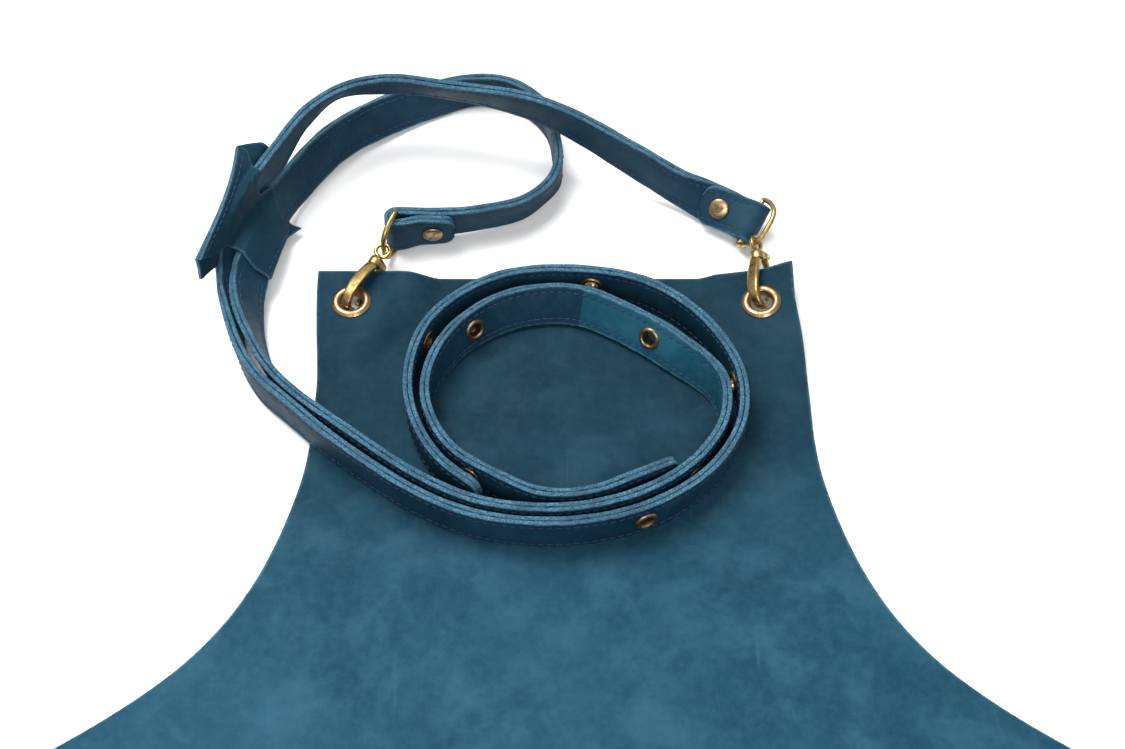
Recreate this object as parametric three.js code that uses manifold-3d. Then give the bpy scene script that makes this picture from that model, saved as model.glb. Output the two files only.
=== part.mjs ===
// Leather grill apron laid flat, with its cross-back straps gathered on the bib.
// Millimetres. +X to the wearer's left, +Y toward the bib's top edge, +Z up from the table.
// Places are measured from a point on the bib's centre line, BIB.topY below the top edge, at table height.
import * as THREE from "three";
import { mergeVertices } from "three/addons/utils/BufferGeometryUtils.js";
import Module from "manifold-3d";

const wasm = await Module();
wasm.setup();

// Driving sizes
const GAP = 0.3; // clearance between pieces that rest on or pass through each other
const SHEET = { length: 810, skirtWidth: 600, thick: 2.0, hemRadius: 36 };
const BIB = { width: 250, topY: 61, straight: 100, armhole: 208 };
const STRAP = { width: 22, layer: 2.2, seam: 0.3, step: 12.5 };
const FOLD = { tab: 30, blend: 14, step: 5 };
const EYELET = { hole: 7, flange: 12.4, sheet: 0.8, pitch: 100, first: 94, count: 4, sides: 8 };
const GROMMET = { hole: 11.6, flange: 21, under: 19, wall: 0.9, dome: 1.7, rim: 0.9, sides: 14 };
const WAIST_GROMMET = { inset: 22, flange: 17, hole: 8.5 };
const RIVET = { cap: 11, dome: 1.5, shank: 3.2, fromBar: 18.75, sides: 12 };
const D_RING = { wire: 2.8, bar: 28, depth: 15.5, square: 0.6, sides: 6, arcSteps: 12 };
const HOOK = { length: 38.3, width: 5.6, rise: 6.5, drop: 5.2, collar: 7.8, collarLength: 5.0, sides: 8 };
const EYE = { wire: 2.2, inner: 5.4, stem: 2.6, head: 4.2, headThick: 1.2, sides: 6, steps: 12 };
const LEVER = { width: 3.6, thick: 1.8, bulge: 8.5, pin: 1.6, cheek: 1.2 };
const YOKE = { width: 68, length: 60, layer: 1.6, blunt: 11, arch: 9, waist: 0.1, fade: 4.5, columns: 16, rows: 9 };
const COIL = { reach: 83 };
// The coil's centre, as shares of BIB.width.
const COIL_AT = { x: 0.024, y: -0.0992 };
// How each hook hangs: the D ring's heading and rise, the eye's slide along its bow and the hook's roll, in degrees,
// and where its throat bears in the grommet, as shares of the hole's radius.
const HANG = {
  right: { heading: -58, rise: 30, slide: 32, roll: -42, bearX: 0.007, bearY: -0.301 },
  left: { heading: -114, rise: 0, slide: 0, roll: -8, bearX: -0.279, bearY: -0.546 },
};
const CUT_STEPS = 8;
const CARRIED = 6; // strap stations that follow the hook when a size moves its grommet

// The sheet's armhole: share of BIB.armhole down from the straight side, share of the way out to the skirt.
const ARMHOLE = [
  { down: 0.0, out: 0.0 },
  { down: 0.1, out: 0.01 },
  { down: 0.2, out: 0.034 },
  { down: 0.3, out: 0.068 },
  { down: 0.4, out: 0.115 },
  { down: 0.5, out: 0.182 },
  { down: 0.6, out: 0.28 },
  { down: 0.7, out: 0.42 },
  { down: 0.8, out: 0.595 },
  { down: 0.9, out: 0.79 },
  { down: 1.0, out: 1.0 },
];

// The two lifted bib corners, over the hooks' levers. A grommet's place is its inset from the bib's side, and below the
// top edge HOOK.length less a standoff, so that the collar stays at the edge. Slopes are rise per millimetre.
const CORNERS = {
  left: { side: -1, inset: 14.6, standoff: 17.8, height: 6.4, slopeX: 0.0, slopeY: 0.015, inner: 0.186, fade: 0.08, curl: 0 },
  right: { side: 1, inset: 20.8, standoff: 17.8, height: 6.6, slopeX: 0.18, slopeY: 0.06, inner: 0.137, fade: 0.05, curl: 5 },
};
const FLAP_FALL = { below: 0.07, fall: 0.13, skew: 0.85 };

// Strap routes: centre line as shares of BIB.width, height as a share of STRAP.width, lean from upright in degrees.
const SHOULDER_RIGHT = [
  { x: 0.41, y: 0.378, z: 0.37, lean: 60 },
  { x: 0.342, y: 0.418, z: 0.48, lean: 41 },
  { x: 0.252, y: 0.457, z: 0.725, lean: 9 },
  { x: 0.155, y: 0.5, z: 1.165, lean: 3 },
  { x: -0.045, y: 0.593, z: 1.803, lean: -11 },
  { x: -0.25, y: 0.644, z: 1.926, lean: -28 },
  { x: -0.392, y: 0.659, z: 1.969, lean: -27 },
  { x: -0.488, y: 0.628, z: 2.068, lean: -35 },
  { x: -0.552, y: 0.565, z: 1.981, lean: -21 },
  { x: -0.611, y: 0.449, z: 1.82, lean: -7 },
];
const SHOULDER_LEFT = [
  { x: -0.355, y: 0.356, z: 0.69, lean: 2 },
  { x: -0.18, y: 0.375, z: 0.63, lean: 14 },
  { x: -0.078, y: 0.414, z: 0.575, lean: 15 },
  { x: -0.037, y: 0.458, z: 0.56, lean: 14 },
  { x: -0.011, y: 0.515, z: 0.54, lean: 3 },
  { x: -0.013, y: 0.58, z: 0.53, lean: 0 },
  { x: -0.032, y: 0.669, z: 0.53, lean: 0 },
  { x: -0.125, y: 0.76, z: 0.53, lean: 0 },
  { x: -0.222, y: 0.765, z: 0.53, lean: 2 },
  { x: -0.278, y: 0.746, z: 0.52, lean: 11 },
  { x: -0.408, y: 0.687, z: 0.5, lean: 31 },
  { x: -0.501, y: 0.614, z: 0.515, lean: 27 },
  { x: -0.588, y: 0.474, z: 0.598, lean: 26 },
];
const RUN_RIGHT = [
  { x: -0.677, y: 0.095, z: 0.55, lean: 11 },
  { x: -0.602, y: -0.065, z: 0.56, lean: 0 },
  { x: -0.544, y: -0.122, z: 0.61, lean: 0 },
  { x: -0.44, y: -0.215, z: 0.609, lean: 0 },
];
const RUN_LEFT = [
  { x: -0.608, y: 0.004, z: 0.62, lean: 11 },
  { x: -0.414, y: -0.196, z: 0.62, lean: 0 },
];
// Where each strap passes the yoke: share across it, share along it, and offset from its middle in strap thicknesses.
const PASS_RIGHT = [
  { across: 0.65, along: 0.0, off: -0.4 },
  { across: 0.63, along: 0.25, off: -0.68 },
  { across: 0.53, along: 0.5, off: -0.68 },
  { across: 0.4, along: 0.75, off: -0.68 },
  { across: 0.294, along: 1.0, off: -0.64 },
];
const PASS_LEFT = [
  { across: 0.287, along: 0.0, off: 0.34 },
  { across: 0.287, along: 0.25, off: 0.66 },
  { across: 0.287, along: 0.5, off: 0.68 },
  { across: 0.28, along: 0.75, off: 0.68 },
  { across: 0.25, along: 1.0, off: 0.64 },
];
// The coil by compass angle, as shares of COIL.reach. The outer strap ends before its second turn is over.
const COIL_TURNS = [
  { turn: 240, outer: 1.0, inner: 0.905, lean: 0 },
  { turn: 270, outer: 0.895, inner: 0.803, lean: 0 },
  { turn: 300, outer: 0.897, inner: 0.797, lean: 0 },
  { turn: 330, outer: 0.965, inner: 0.86, lean: 0 },
  { turn: 350, outer: 1.003, inner: 0.902, lean: 0 },
  { turn: 364, outer: 1.003, inner: 0.88, lean: 8 },
  { turn: 390, outer: 0.96, inner: 0.71, lean: 25 },
  { turn: 420, outer: 0.93, inner: 0.655, lean: 25 },
  { turn: 450, outer: 0.91, inner: 0.72, lean: 25 },
  { turn: 480, outer: 0.98, inner: 0.785, lean: 24 },
  { turn: 510, outer: 1.03, inner: 0.85, lean: 12 },
  { turn: 540, outer: 0.99, inner: 0.89, lean: 0 },
  { turn: 570, outer: 0.92, inner: 0.82, lean: 0 },
  { turn: 591, outer: 0.868, inner: 0.742, lean: 0 },
  { turn: 615, outer: null, inner: 0.731, lean: 0 },
  { turn: 640, outer: null, inner: 0.698, lean: 0 },
  { turn: 660, outer: null, inner: 0.685, lean: 0 },
  { turn: 681, outer: null, inner: 0.765, lean: 0 },
];

// The yoke's upper and lower cross sections: places as shares of BIB.width, at shares of YOKE.width across.
const YOKE_SECTIONS = [
  { across: 0.0, north: [-0.576, 0.376, 0.019], south: [-0.652, 0.184, 0.011] },
  { across: 0.118, north: [-0.603, 0.38, 0.034], south: [-0.649, 0.187, 0.034] },
  { across: 0.456, north: [-0.636, 0.395, 0.104], south: [-0.7, 0.178, 0.105] },
  { across: 0.794, north: [-0.639, 0.388, 0.194], south: [-0.724, 0.17, 0.148] },
  { across: 1.0, north: [-0.676, 0.411, 0.24], south: [-0.734, 0.156, 0.18] },
];

// Finishes
const leather = new THREE.MeshStandardMaterial({ color: 0x2b5f7d, roughness: 0.72, metalness: 0.0 });
const strapLeather = new THREE.MeshStandardMaterial({ color: 0x2c4a63, roughness: 0.62, metalness: 0.0 });
const brass = new THREE.MeshStandardMaterial({ color: 0x9a7b3c, roughness: 0.34, metalness: 1.0 });
const copper = new THREE.MeshStandardMaterial({ color: 0x96704a, roughness: 0.36, metalness: 1.0 });

const THICK = 2 * STRAP.layer + STRAP.seam;
const flapAt = (corner) => ({
  ...corner,
  x: corner.side * (BIB.width / 2 - corner.inset),
  y: BIB.topY - (HOOK.length - corner.standoff),
});
const FLAPS = { left: flapAt(CORNERS.left), right: flapAt(CORNERS.right) };
const UP = new THREE.Vector3(0, 0, 1);

const clamp01 = (v) => Math.min(1, Math.max(0, v));
const smooth = (v) => clamp01(v) ** 2 * (3 - 2 * clamp01(v));
const radians = THREE.MathUtils.degToRad;

// A smooth curve through rows of equal length at the places xs, with a tangent at each row from its two neighbours.
function splineAt(xs, rows, x) {
  const last = xs.length - 1;
  let i = 0;
  while (i < last - 1 && x > xs[i + 1]) i += 1;
  const slope = (a) => rows[a].map((v, c) => (rows[a + 1][c] - v) / (xs[a + 1] - xs[a]));
  const tangent = (a) => {
    const at = (b, c) => {
      const h0 = xs[b] - xs[b - 1];
      const h1 = xs[b + 1] - xs[b];
      return (slope(b - 1)[c] * h1 + slope(b)[c] * h0) / (h0 + h1);
    };
    if (a === 0) return slope(0).map((v, c) => 1.5 * v - 0.5 * at(1, c));
    if (a === last) return slope(last - 1).map((v, c) => 1.5 * v - 0.5 * at(last - 1, c));
    return rows[a].map((_, c) => at(a, c));
  };
  const h = xs[i + 1] - xs[i];
  const t = (x - xs[i]) / h;
  const m0 = tangent(i);
  const m1 = tangent(i + 1);
  return rows[i].map(
    (v, c) =>
      (2 * t ** 3 - 3 * t ** 2 + 1) * v +
      (t ** 3 - 2 * t ** 2 + t) * h * m0[c] +
      (3 * t ** 2 - 2 * t ** 3) * rows[i + 1][c] +
      (t ** 3 - t ** 2) * h * m1[c],
  );
}

// A closed geometry from its corner points and triangles, turned so that its faces point out.
function closedGeometry(points, triangles) {
  let volume = 0;
  for (const [a, b, c] of triangles) {
    volume += points[a].dot(new THREE.Vector3().crossVectors(points[b], points[c]));
  }
  const index = volume < 0 ? triangles.map(([a, b, c]) => [a, c, b]) : triangles;
  const geometry = new THREE.BufferGeometry();
  geometry.setAttribute("position", new THREE.Float32BufferAttribute(points.flatMap((p) => p.toArray()), 3));
  geometry.setIndex(index.flat());
  return geometry;
}

// A tube with closed ends through rings of equal size; looped joins the last ring to the first.
function ringsToGeometry(rings, looped = false) {
  const size = rings[0].length;
  const points = rings.flat();
  const triangles = [];
  const spans = looped ? rings.length : rings.length - 1;
  for (let i = 0; i < spans; i += 1) {
    for (let j = 0; j < size; j += 1) {
      const a = i * size + j;
      const b = i * size + ((j + 1) % size);
      const next = ((i + 1) % rings.length) * size;
      const c = next + j;
      const d = next + ((j + 1) % size);
      if (j < size / 2) triangles.push([a, b, d], [a, d, c]);
      else triangles.push([a, b, c], [b, d, c]);
    }
  }
  if (!looped) {
    const end = (rings.length - 1) * size;
    for (let j = 1; j < size - 1; j += 1) {
      triangles.push([0, j + 1, j], [end, end + j, end + j + 1]);
    }
  }
  return closedGeometry(points, triangles);
}

// A wall between two grids of points with the same rows and columns.
function slabGeometry(upper, lower) {
  const rows = upper.length;
  const columns = upper[0].length;
  const points = [...upper.flat(), ...lower.flat()];
  const under = rows * columns;
  const at = (i, j) => i * columns + j;
  const triangles = [];
  for (let i = 0; i < rows - 1; i += 1) {
    for (let j = 0; j < columns - 1; j += 1) {
      const [a, b, c, d] = [at(i, j), at(i, j + 1), at(i + 1, j + 1), at(i + 1, j)];
      triangles.push([a, c, b], [a, d, c], [under + a, under + b, under + c], [under + a, under + c, under + d]);
    }
  }
  const rim = [];
  for (let j = 0; j < columns - 1; j += 1) rim.push(at(0, j));
  for (let i = 0; i < rows - 1; i += 1) rim.push(at(i, columns - 1));
  for (let j = columns - 1; j > 0; j -= 1) rim.push(at(rows - 1, j));
  for (let i = rows - 1; i > 0; i -= 1) rim.push(at(i, 0));
  rim.forEach((a, k) => {
    const b = rim[(k + 1) % rim.length];
    triangles.push([a, b, under + b], [a, under + b, under + a]);
  });
  return closedGeometry(points, triangles);
}

// Geometry to solid and back, for cuts and joins.
function solidOf(geometry) {
  const bare = new THREE.BufferGeometry();
  bare.setAttribute("position", geometry.getAttribute("position"));
  bare.setIndex(geometry.getIndex());
  const merged = mergeVertices(bare, 1e-4);
  return new wasm.Manifold(
    new wasm.Mesh({
      numProp: 3,
      vertProperties: new Float32Array(merged.getAttribute("position").array),
      triVerts: new Uint32Array(merged.getIndex().array),
    }),
  );
}

function geometryOf(solid) {
  const mesh = solid.getMesh();
  const geometry = new THREE.BufferGeometry();
  geometry.setAttribute("position", new THREE.Float32BufferAttribute(mesh.vertProperties, 3));
  geometry.setIndex([...mesh.triVerts]);
  return geometry;
}

function cut(geometry, cutters) {
  return geometryOf(cutters.reduce((solid, cutter) => solid.subtract(solidOf(cutter)), solidOf(geometry)));
}

function join(geometries) {
  return geometryOf(geometries.slice(1).reduce((solid, piece) => solid.add(solidOf(piece)), solidOf(geometries[0])));
}

// A frame with its z axis along axis and its x axis as near to side as that allows.
function frameAt(origin, axis, side) {
  const z = axis.clone().normalize();
  const x = side.clone().addScaledVector(z, -side.dot(z)).normalize();
  const y = new THREE.Vector3().crossVectors(z, x);
  return new THREE.Matrix4().makeBasis(x, y, z).setPosition(origin);
}

function rodGeometry(radius, length, sides, frame) {
  const rod = new THREE.CylinderGeometry(radius, radius, length, sides);
  rod.rotateX(Math.PI / 2);
  return frame ? rod.applyMatrix4(frame) : rod;
}

// A turned piece from a profile of [radius, height] rows about its z axis.
function turnedGeometry(profile, sides, frame) {
  const turned = new THREE.LatheGeometry(profile.map(([r, z]) => new THREE.Vector2(r, z)), sides);
  turned.rotateX(Math.PI / 2);
  return closedTurned(turned).applyMatrix4(frame);
}

function closedTurned(geometry) {
  const bare = new THREE.BufferGeometry();
  bare.setAttribute("position", geometry.getAttribute("position"));
  bare.setIndex(geometry.getIndex());
  const merged = mergeVertices(bare, 1e-4);
  const position = merged.getAttribute("position");
  const points = [...Array(position.count).keys()].map((i) => new THREE.Vector3().fromBufferAttribute(position, i));
  const index = [...merged.getIndex().array];
  const triangles = [];
  for (let i = 0; i < index.length; i += 3) {
    const [a, b, c] = index.slice(i, i + 3);
    if (a !== b && b !== c && a !== c) triangles.push([a, b, c]);
  }
  return closedGeometry(points, triangles);
}

// The sheet's height at a place on it: flat on the table but for its two lifted corners.
function flapWeight(flap, x, y) {
  const across = (flap.side * (x - flap.x)) / BIB.width;
  const below = (flap.y - y) / BIB.width;
  const inner = flap.inner - FLAP_FALL.skew * Math.max(0, below);
  return smooth((across + inner) / flap.fade) * (1 - smooth((below - FLAP_FALL.below) / FLAP_FALL.fall));
}

function sheetLift(x, y) {
  return Object.values(FLAPS).reduce((sum, flap) => {
    const away = (flap.side * (x - flap.x) + (y - flap.y)) / Math.SQRT2;
    const plane = flap.height + flap.slopeX * flap.side * (x - flap.x) + flap.slopeY * (y - flap.y);
    const curl = flap.curl * smooth((away - 0.62 * GROMMET.flange) / (BIB.width * 0.06));
    return sum + flapWeight(flap, x, y) * Math.max(0, plane + curl);
  }, 0);
}

function halfWidthAt(down) {
  const bibHalf = BIB.width / 2;
  const skirtHalf = SHEET.skirtWidth / 2;
  const share = clamp01((down - BIB.straight) / BIB.armhole);
  const out = splineAt(ARMHOLE.map((r) => r.down), ARMHOLE.map((r) => [r.out]), share)[0];
  const toHem = SHEET.length - down;
  const corner = SHEET.hemRadius;
  const rounded = toHem < corner ? corner - Math.sqrt(corner ** 2 - (corner - toHem) ** 2) : 0;
  return bibHalf + (skirtHalf - bibHalf) * clamp01(out) - rounded;
}

function grommetSeat(flap) {
  const normal = new THREE.Vector3(-flap.slopeX * flap.side, -flap.slopeY, 1).normalize();
  return { centre: new THREE.Vector3(flap.x, flap.y, flap.height + SHEET.thick / 2), normal };
}

function waistSeat(side) {
  const x = side * (SHEET.skirtWidth / 2 - WAIST_GROMMET.inset);
  const y = BIB.topY - BIB.straight - BIB.armhole - WAIST_GROMMET.inset;
  return { centre: new THREE.Vector3(x, y, SHEET.thick / 2), normal: UP.clone() };
}

function sheetGeometry() {
  const downs = [];
  const flapRows = 8;
  for (let i = 0; i < flapRows; i += 1) downs.push((BIB.straight * i) / flapRows);
  for (let i = 0; i <= 10; i += 1) downs.push(BIB.straight + (BIB.armhole * i) / 10);
  const plain = SHEET.length - SHEET.hemRadius - BIB.straight - BIB.armhole;
  for (let i = 1; i <= 2; i += 1) downs.push(BIB.straight + BIB.armhole + (plain * i) / 2);
  for (let i = 1; i <= 3; i += 1) {
    downs.push(SHEET.length - SHEET.hemRadius * (1 - Math.sin((Math.PI / 2) * (i / 3))));
  }
  const columns = 18;
  const grid = (height) =>
    downs.map((down) =>
      Array.from({ length: columns + 1 }, (_, j) => {
        const x = halfWidthAt(down) * ((2 * j) / columns - 1);
        const y = BIB.topY - down;
        return new THREE.Vector3(x, y, height + sheetLift(x, y));
      }),
    );
  const sheet = slabGeometry(grid(SHEET.thick), grid(0));
  const holes = [];
  for (const flap of Object.values(FLAPS)) {
    const { centre, normal } = grommetSeat(flap);
    const radius = GROMMET.hole / 2 + GROMMET.wall + GAP;
    holes.push(rodGeometry(radius, 8 * SHEET.thick, GROMMET.sides, frameAt(centre, normal, new THREE.Vector3(1, 0, 0))));
  }
  for (const side of [-1, 1]) {
    const { centre, normal } = waistSeat(side);
    const radius = WAIST_GROMMET.hole / 2 + GROMMET.wall + GAP;
    holes.push(rodGeometry(radius, 4 * SHEET.thick, GROMMET.sides, frameAt(centre, normal, new THREE.Vector3(1, 0, 0))));
  }
  return geometryOf(solidOf(cut(sheet, holes)).simplify(0.001));
}

// A grommet about the sheet's middle: domed flange above, barrel through, rolled flange below.
function grommetGeometry(seat, hole, flange, under, flatBelow) {
  const r = hole / 2;
  const barrel = r + GROMMET.wall;
  const top = SHEET.thick / 2 + GAP / 2;
  const bottom = -top;
  const floor = flatBelow ? bottom + GAP / 2 : bottom - GROMMET.rim;
  const profile = [
    [r, floor],
    ...(flatBelow ? [[barrel, floor]] : [[under / 2 - 0.5, floor], [under / 2, bottom], [barrel, bottom]]),
    [barrel, top],
    [flange / 2, top],
    [flange / 2 - 0.35, top + 0.5],
    [(flange / 2 + r) / 2 + 0.6, top + GROMMET.dome * 0.82],
    [r + 1.1, top + GROMMET.dome * 0.92],
    [r, top + 0.5],
    [r, floor],
  ];
  return turnedGeometry(profile, GROMMET.sides, frameAt(seat.centre, seat.normal, new THREE.Vector3(1, 0, 0)));
}

// The yoke's middle surface, at a share across it and a share along it from its upper end.
function yokePoint(across, along) {
  const xs = YOKE_SECTIONS.map((row) => row.across);
  const north = splineAt(xs, YOKE_SECTIONS.map((row) => row.north), across);
  const south = splineAt(xs, YOKE_SECTIONS.map((row) => row.south), across);
  return new THREE.Vector3(...north.map((v, c) => BIB.width * ((1 - along) * v + along * south[c])));
}

function yokeFrame(across, along) {
  const u = yokePoint(across + 0.01, along).sub(yokePoint(across - 0.01, along)).normalize();
  const t = yokePoint(across, along - 0.01).sub(yokePoint(across, along + 0.01)).normalize();
  u.addScaledVector(t, -u.dot(t)).normalize();
  return { point: yokePoint(across, along), t, u, n: new THREE.Vector3().crossVectors(t, u) };
}

// Stations of a strap: a point on its middle line and the direction of its width.
function routeStations(rows) {
  const points = rows.map((r) => new THREE.Vector3(r.x * BIB.width, r.y * BIB.width, r.z * STRAP.width));
  return points.map((point, i) => {
    const before = points[Math.max(0, i - 1)];
    const after = points[Math.min(points.length - 1, i + 1)];
    const t = after.clone().sub(before).normalize();
    const h = new THREE.Vector3().crossVectors(t, UP).normalize();
    const v = new THREE.Vector3().crossVectors(h, t);
    const lean = radians(rows[i].lean);
    return { point, u: v.multiplyScalar(Math.cos(lean)).addScaledVector(h, Math.sin(lean)) };
  });
}

function passStations(rows) {
  return rows.map((row) => {
    const { point, u, n } = yokeFrame(row.across, row.along);
    return { point: point.addScaledVector(n, row.off * THICK), u };
  });
}

function coilRows(column) {
  return COIL_TURNS.filter((row) => row[column] !== null).map((row) => {
    const lean = column === "inner" ? row.lean : 0;
    const half = (STRAP.width / 2) * Math.cos(radians(lean)) + (THICK / 2) * Math.abs(Math.sin(radians(lean)));
    const reach = row[column] * COIL.reach;
    return {
      x: COIL_AT.x + (reach * Math.cos(radians(row.turn))) / BIB.width,
      y: COIL_AT.y + (reach * Math.sin(radians(row.turn))) / BIB.width,
      z: (SHEET.thick + GAP + half) / STRAP.width,
      lean,
    };
  });
}

function strapStations(shoulder, pass, run, column) {
  const tail = [...run, ...coilRows(column)];
  return [...routeStations(shoulder), ...passStations(pass), ...routeStations(tail)];
}

// Evenly stepped frames along the stations: point p, along t, across u, normal n, and the distance s.
function strapFrames(stations, step) {
  const xs = [0];
  for (let i = 1; i < stations.length; i += 1) xs.push(xs[i - 1] + stations[i].point.distanceTo(stations[i - 1].point));
  const rows = stations.map((s) => [...s.point.toArray(), ...s.u.toArray()]);
  const total = xs[xs.length - 1];
  const count = Math.round(total / step);
  return Array.from({ length: count + 1 }, (_, i) => {
    const row = splineAt(xs, rows, (total * i) / count);
    return { p: new THREE.Vector3(...row.slice(0, 3)), u: new THREE.Vector3(...row.slice(3)) };
  });
}

// The folded end: the tab lies on the strap, goes round the ring's bar and runs into the strap.
function foldFrames(main, tabSide) {
  const radius = D_RING.wire / 2 + GAP + THICK / 2;
  const lap = THICK + GAP;
  const normal = (frame) => frame.n.clone().multiplyScalar(tabSide);
  const { p, t, u } = main[0];
  const n = normal(main[0]);
  const bar = p.clone().addScaledVector(n, radius);
  const frames = [];
  for (let d = FOLD.tab; d > 0; d -= FOLD.step) {
    const frame = frameAtDistance(main, d);
    const off = lap + (2 * radius - lap) * (1 - smooth(d / FOLD.blend));
    frames.push({ p: frame.p.addScaledVector(normal(frame), off), u: frame.u });
  }
  const turns = 6;
  for (let i = 0; i < turns; i += 1) {
    const angle = (Math.PI * i) / turns;
    const round = bar.clone().addScaledVector(n, radius * Math.cos(angle)).addScaledVector(t, -radius * Math.sin(angle));
    frames.push({ p: round, u: u.clone() });
  }
  const held = frameAtDistance(main, RIVET.fromBar);
  const middle = held.p.clone().addScaledVector(normal(held), lap / 2);
  return { frames, bar, t, u, n, rivet: frameAt(middle, normal(held), held.u) };
}

function finishFrames(frames) {
  let s = 0;
  return frames.map((frame, i) => {
    const before = frames[Math.max(0, i - 1)].p;
    const after = frames[Math.min(frames.length - 1, i + 1)].p;
    const t = after.clone().sub(before).normalize();
    const u = frame.u.clone().addScaledVector(t, -frame.u.dot(t)).normalize();
    if (i > 0) s += frame.p.distanceTo(before);
    return { p: frame.p, t, u, n: new THREE.Vector3().crossVectors(t, u), s };
  });
}

function buildStrap(stations, tabSide) {
  const main = strapFrames(stations, STRAP.step);
  const fold = foldFrames(finishFrames(main), tabSide);
  return { frames: finishFrames([...fold.frames, ...main]), fold };
}

// A strap with its ring and hook. Its first stations are carried to where the hook's throat bears in its grommet.
function hangStrap(stations, tabSide, seat, hang) {
  const bearing = new THREE.Vector3(hang.bearX, hang.bearY, 0).multiplyScalar(GROMMET.hole / 2).add(seat.centre);
  const carried = stations.map((station) => ({ ...station, point: station.point.clone() }));
  for (let pass = 0; pass < 5; pass += 1) {
    const { fold } = buildStrap(carried, tabSide);
    const { throat } = hookFrame(seat, dRingPlace(fold, hang), hang.roll);
    const miss = bearing.clone().sub(throat);
    carried.forEach((station, i) => station.point.addScaledVector(miss, 1 - smooth(i / CARRIED)));
  }
  const strap = buildStrap(carried, tabSide);
  const place = dRingPlace(strap.fold, hang);
  return { ...strap, place, hook: hookFrame(seat, place, hang.roll) };
}

function frameAtDistance(frames, s) {
  let i = 0;
  while (i < frames.length - 2 && frames[i + 1].s < s) i += 1;
  const k = (s - frames[i].s) / (frames[i + 1].s - frames[i].s);
  const mix = (name) => frames[i][name].clone().lerp(frames[i + 1][name], k);
  return { p: mix("p"), t: mix("t").normalize(), u: mix("u").normalize(), n: mix("n").normalize() };
}

// One layer of a strap: a rectangle swept along the frames, offset to its side, with its last corners cut round.
function strapLayer(frames, side, holes) {
  const offset = side * (STRAP.seam / 2 + STRAP.layer / 2);
  const half = STRAP.layer / 2;
  const total = frames[frames.length - 1].s;
  const rings = frames.map(({ p, u, n, s }) => {
    const fromEnd = Math.min(s, total - s);
    const narrow = 1 - 0.32 * (1 - smooth(fromEnd / (STRAP.width * 0.5)));
    return [[-1, -1], [1, -1], [1, 1], [-1, 1]].map(([a, b]) =>
      p.clone().addScaledVector(u, (a * narrow * STRAP.width) / 2).addScaledVector(n, offset + b * half),
    );
  });
  return cut(ringsToGeometry(rings), holes);
}

function eyeletFrames(frames) {
  const steps = (length) => Math.round(length / STRAP.step);
  return Array.from({ length: EYELET.count }, (_, k) => {
    const i = frames.length - 1 - steps(EYELET.first) - k * steps(EYELET.pitch);
    const { p, u, n } = frameAtDistance(frames, (frames[i].s + frames[i - 1].s) / 2);
    return frameAt(p, n, u);
  });
}

function eyeletGeometry(frame) {
  const r = EYELET.hole / 2;
  const barrel = r + 0.7;
  const seat = THICK / 2 + 2 * GAP;
  const profile = [
    [r, -seat - EYELET.sheet],
    [EYELET.flange / 2, -seat],
    [barrel, -seat],
    [barrel, seat],
    [EYELET.flange / 2, seat],
    [r, seat + EYELET.sheet],
    [r, -seat - EYELET.sheet],
  ];
  return turnedGeometry(profile, EYELET.sides, frame);
}

function eyeletHole(frame) {
  return rodGeometry(EYELET.hole / 2 + 0.7 + GAP, 3 * THICK, CUT_STEPS, frame);
}

function rivetGeometry(frame) {
  const seat = THICK + 2.5 * GAP;
  const shank = RIVET.shank / 2;
  const cap = RIVET.cap / 2;
  const profile = [
    [0, -seat - RIVET.dome],
    [cap * 0.6, -seat - RIVET.dome * 0.8],
    [cap, -seat],
    [shank, -seat],
    [shank, seat],
    [cap, seat],
    [cap * 0.6, seat + RIVET.dome * 0.8],
    [0, seat + RIVET.dome],
  ];
  return turnedGeometry(profile, RIVET.sides, frame);
}

// A round wire swept along points in one plane; side is the plane's normal.
function wireGeometry(points, radius, sides, side, looped) {
  const rings = points.map((p, i) => {
    const before = looped ? points[(i - 1 + points.length) % points.length] : points[Math.max(0, i - 1)];
    const after = looped ? points[(i + 1) % points.length] : points[Math.min(points.length - 1, i + 1)];
    const t = after.clone().sub(before).normalize();
    const b = side.clone().addScaledVector(t, -side.dot(t)).normalize();
    const a = new THREE.Vector3().crossVectors(b, t);
    return Array.from({ length: sides }, (_, k) => {
      const angle = (2 * Math.PI * (k + 0.5)) / sides;
      return p.clone().addScaledVector(a, radius * Math.cos(angle)).addScaledVector(b, radius * Math.sin(angle));
    });
  });
  return ringsToGeometry(rings, looped);
}

// The D ring's outline at a turn from -90 to 90 degrees: along its bar, and out from it.
function ringBow(turn) {
  const along = -Math.sign(turn) * Math.abs(Math.sin(turn)) ** D_RING.square;
  return [(along * D_RING.bar) / 2, D_RING.depth * Math.cos(turn)];
}

// The D ring: its bar lies in the strap's fold and its bow stands off toward the hook.
function dRingPlace(fold, hang) {
  const level = new THREE.Vector3(Math.cos(radians(hang.heading)), Math.sin(radians(hang.heading)), 0);
  const toward = level.multiplyScalar(Math.cos(radians(hang.rise))).setZ(Math.sin(radians(hang.rise)));
  toward.addScaledVector(fold.u, -toward.dot(fold.u)).normalize();
  const side = new THREE.Vector3().crossVectors(fold.u, toward);
  const angle = radians(hang.slide);
  const bow = (turn) => {
    const [along, out] = ringBow(turn);
    return fold.bar.clone().addScaledVector(toward, out).addScaledVector(fold.u, along);
  };
  const wire = bow(angle + 0.01).sub(bow(angle - 0.01)).normalize();
  return { bar: fold.bar, u: fold.u, toward, side, eye: bow(angle), wire };
}

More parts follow.
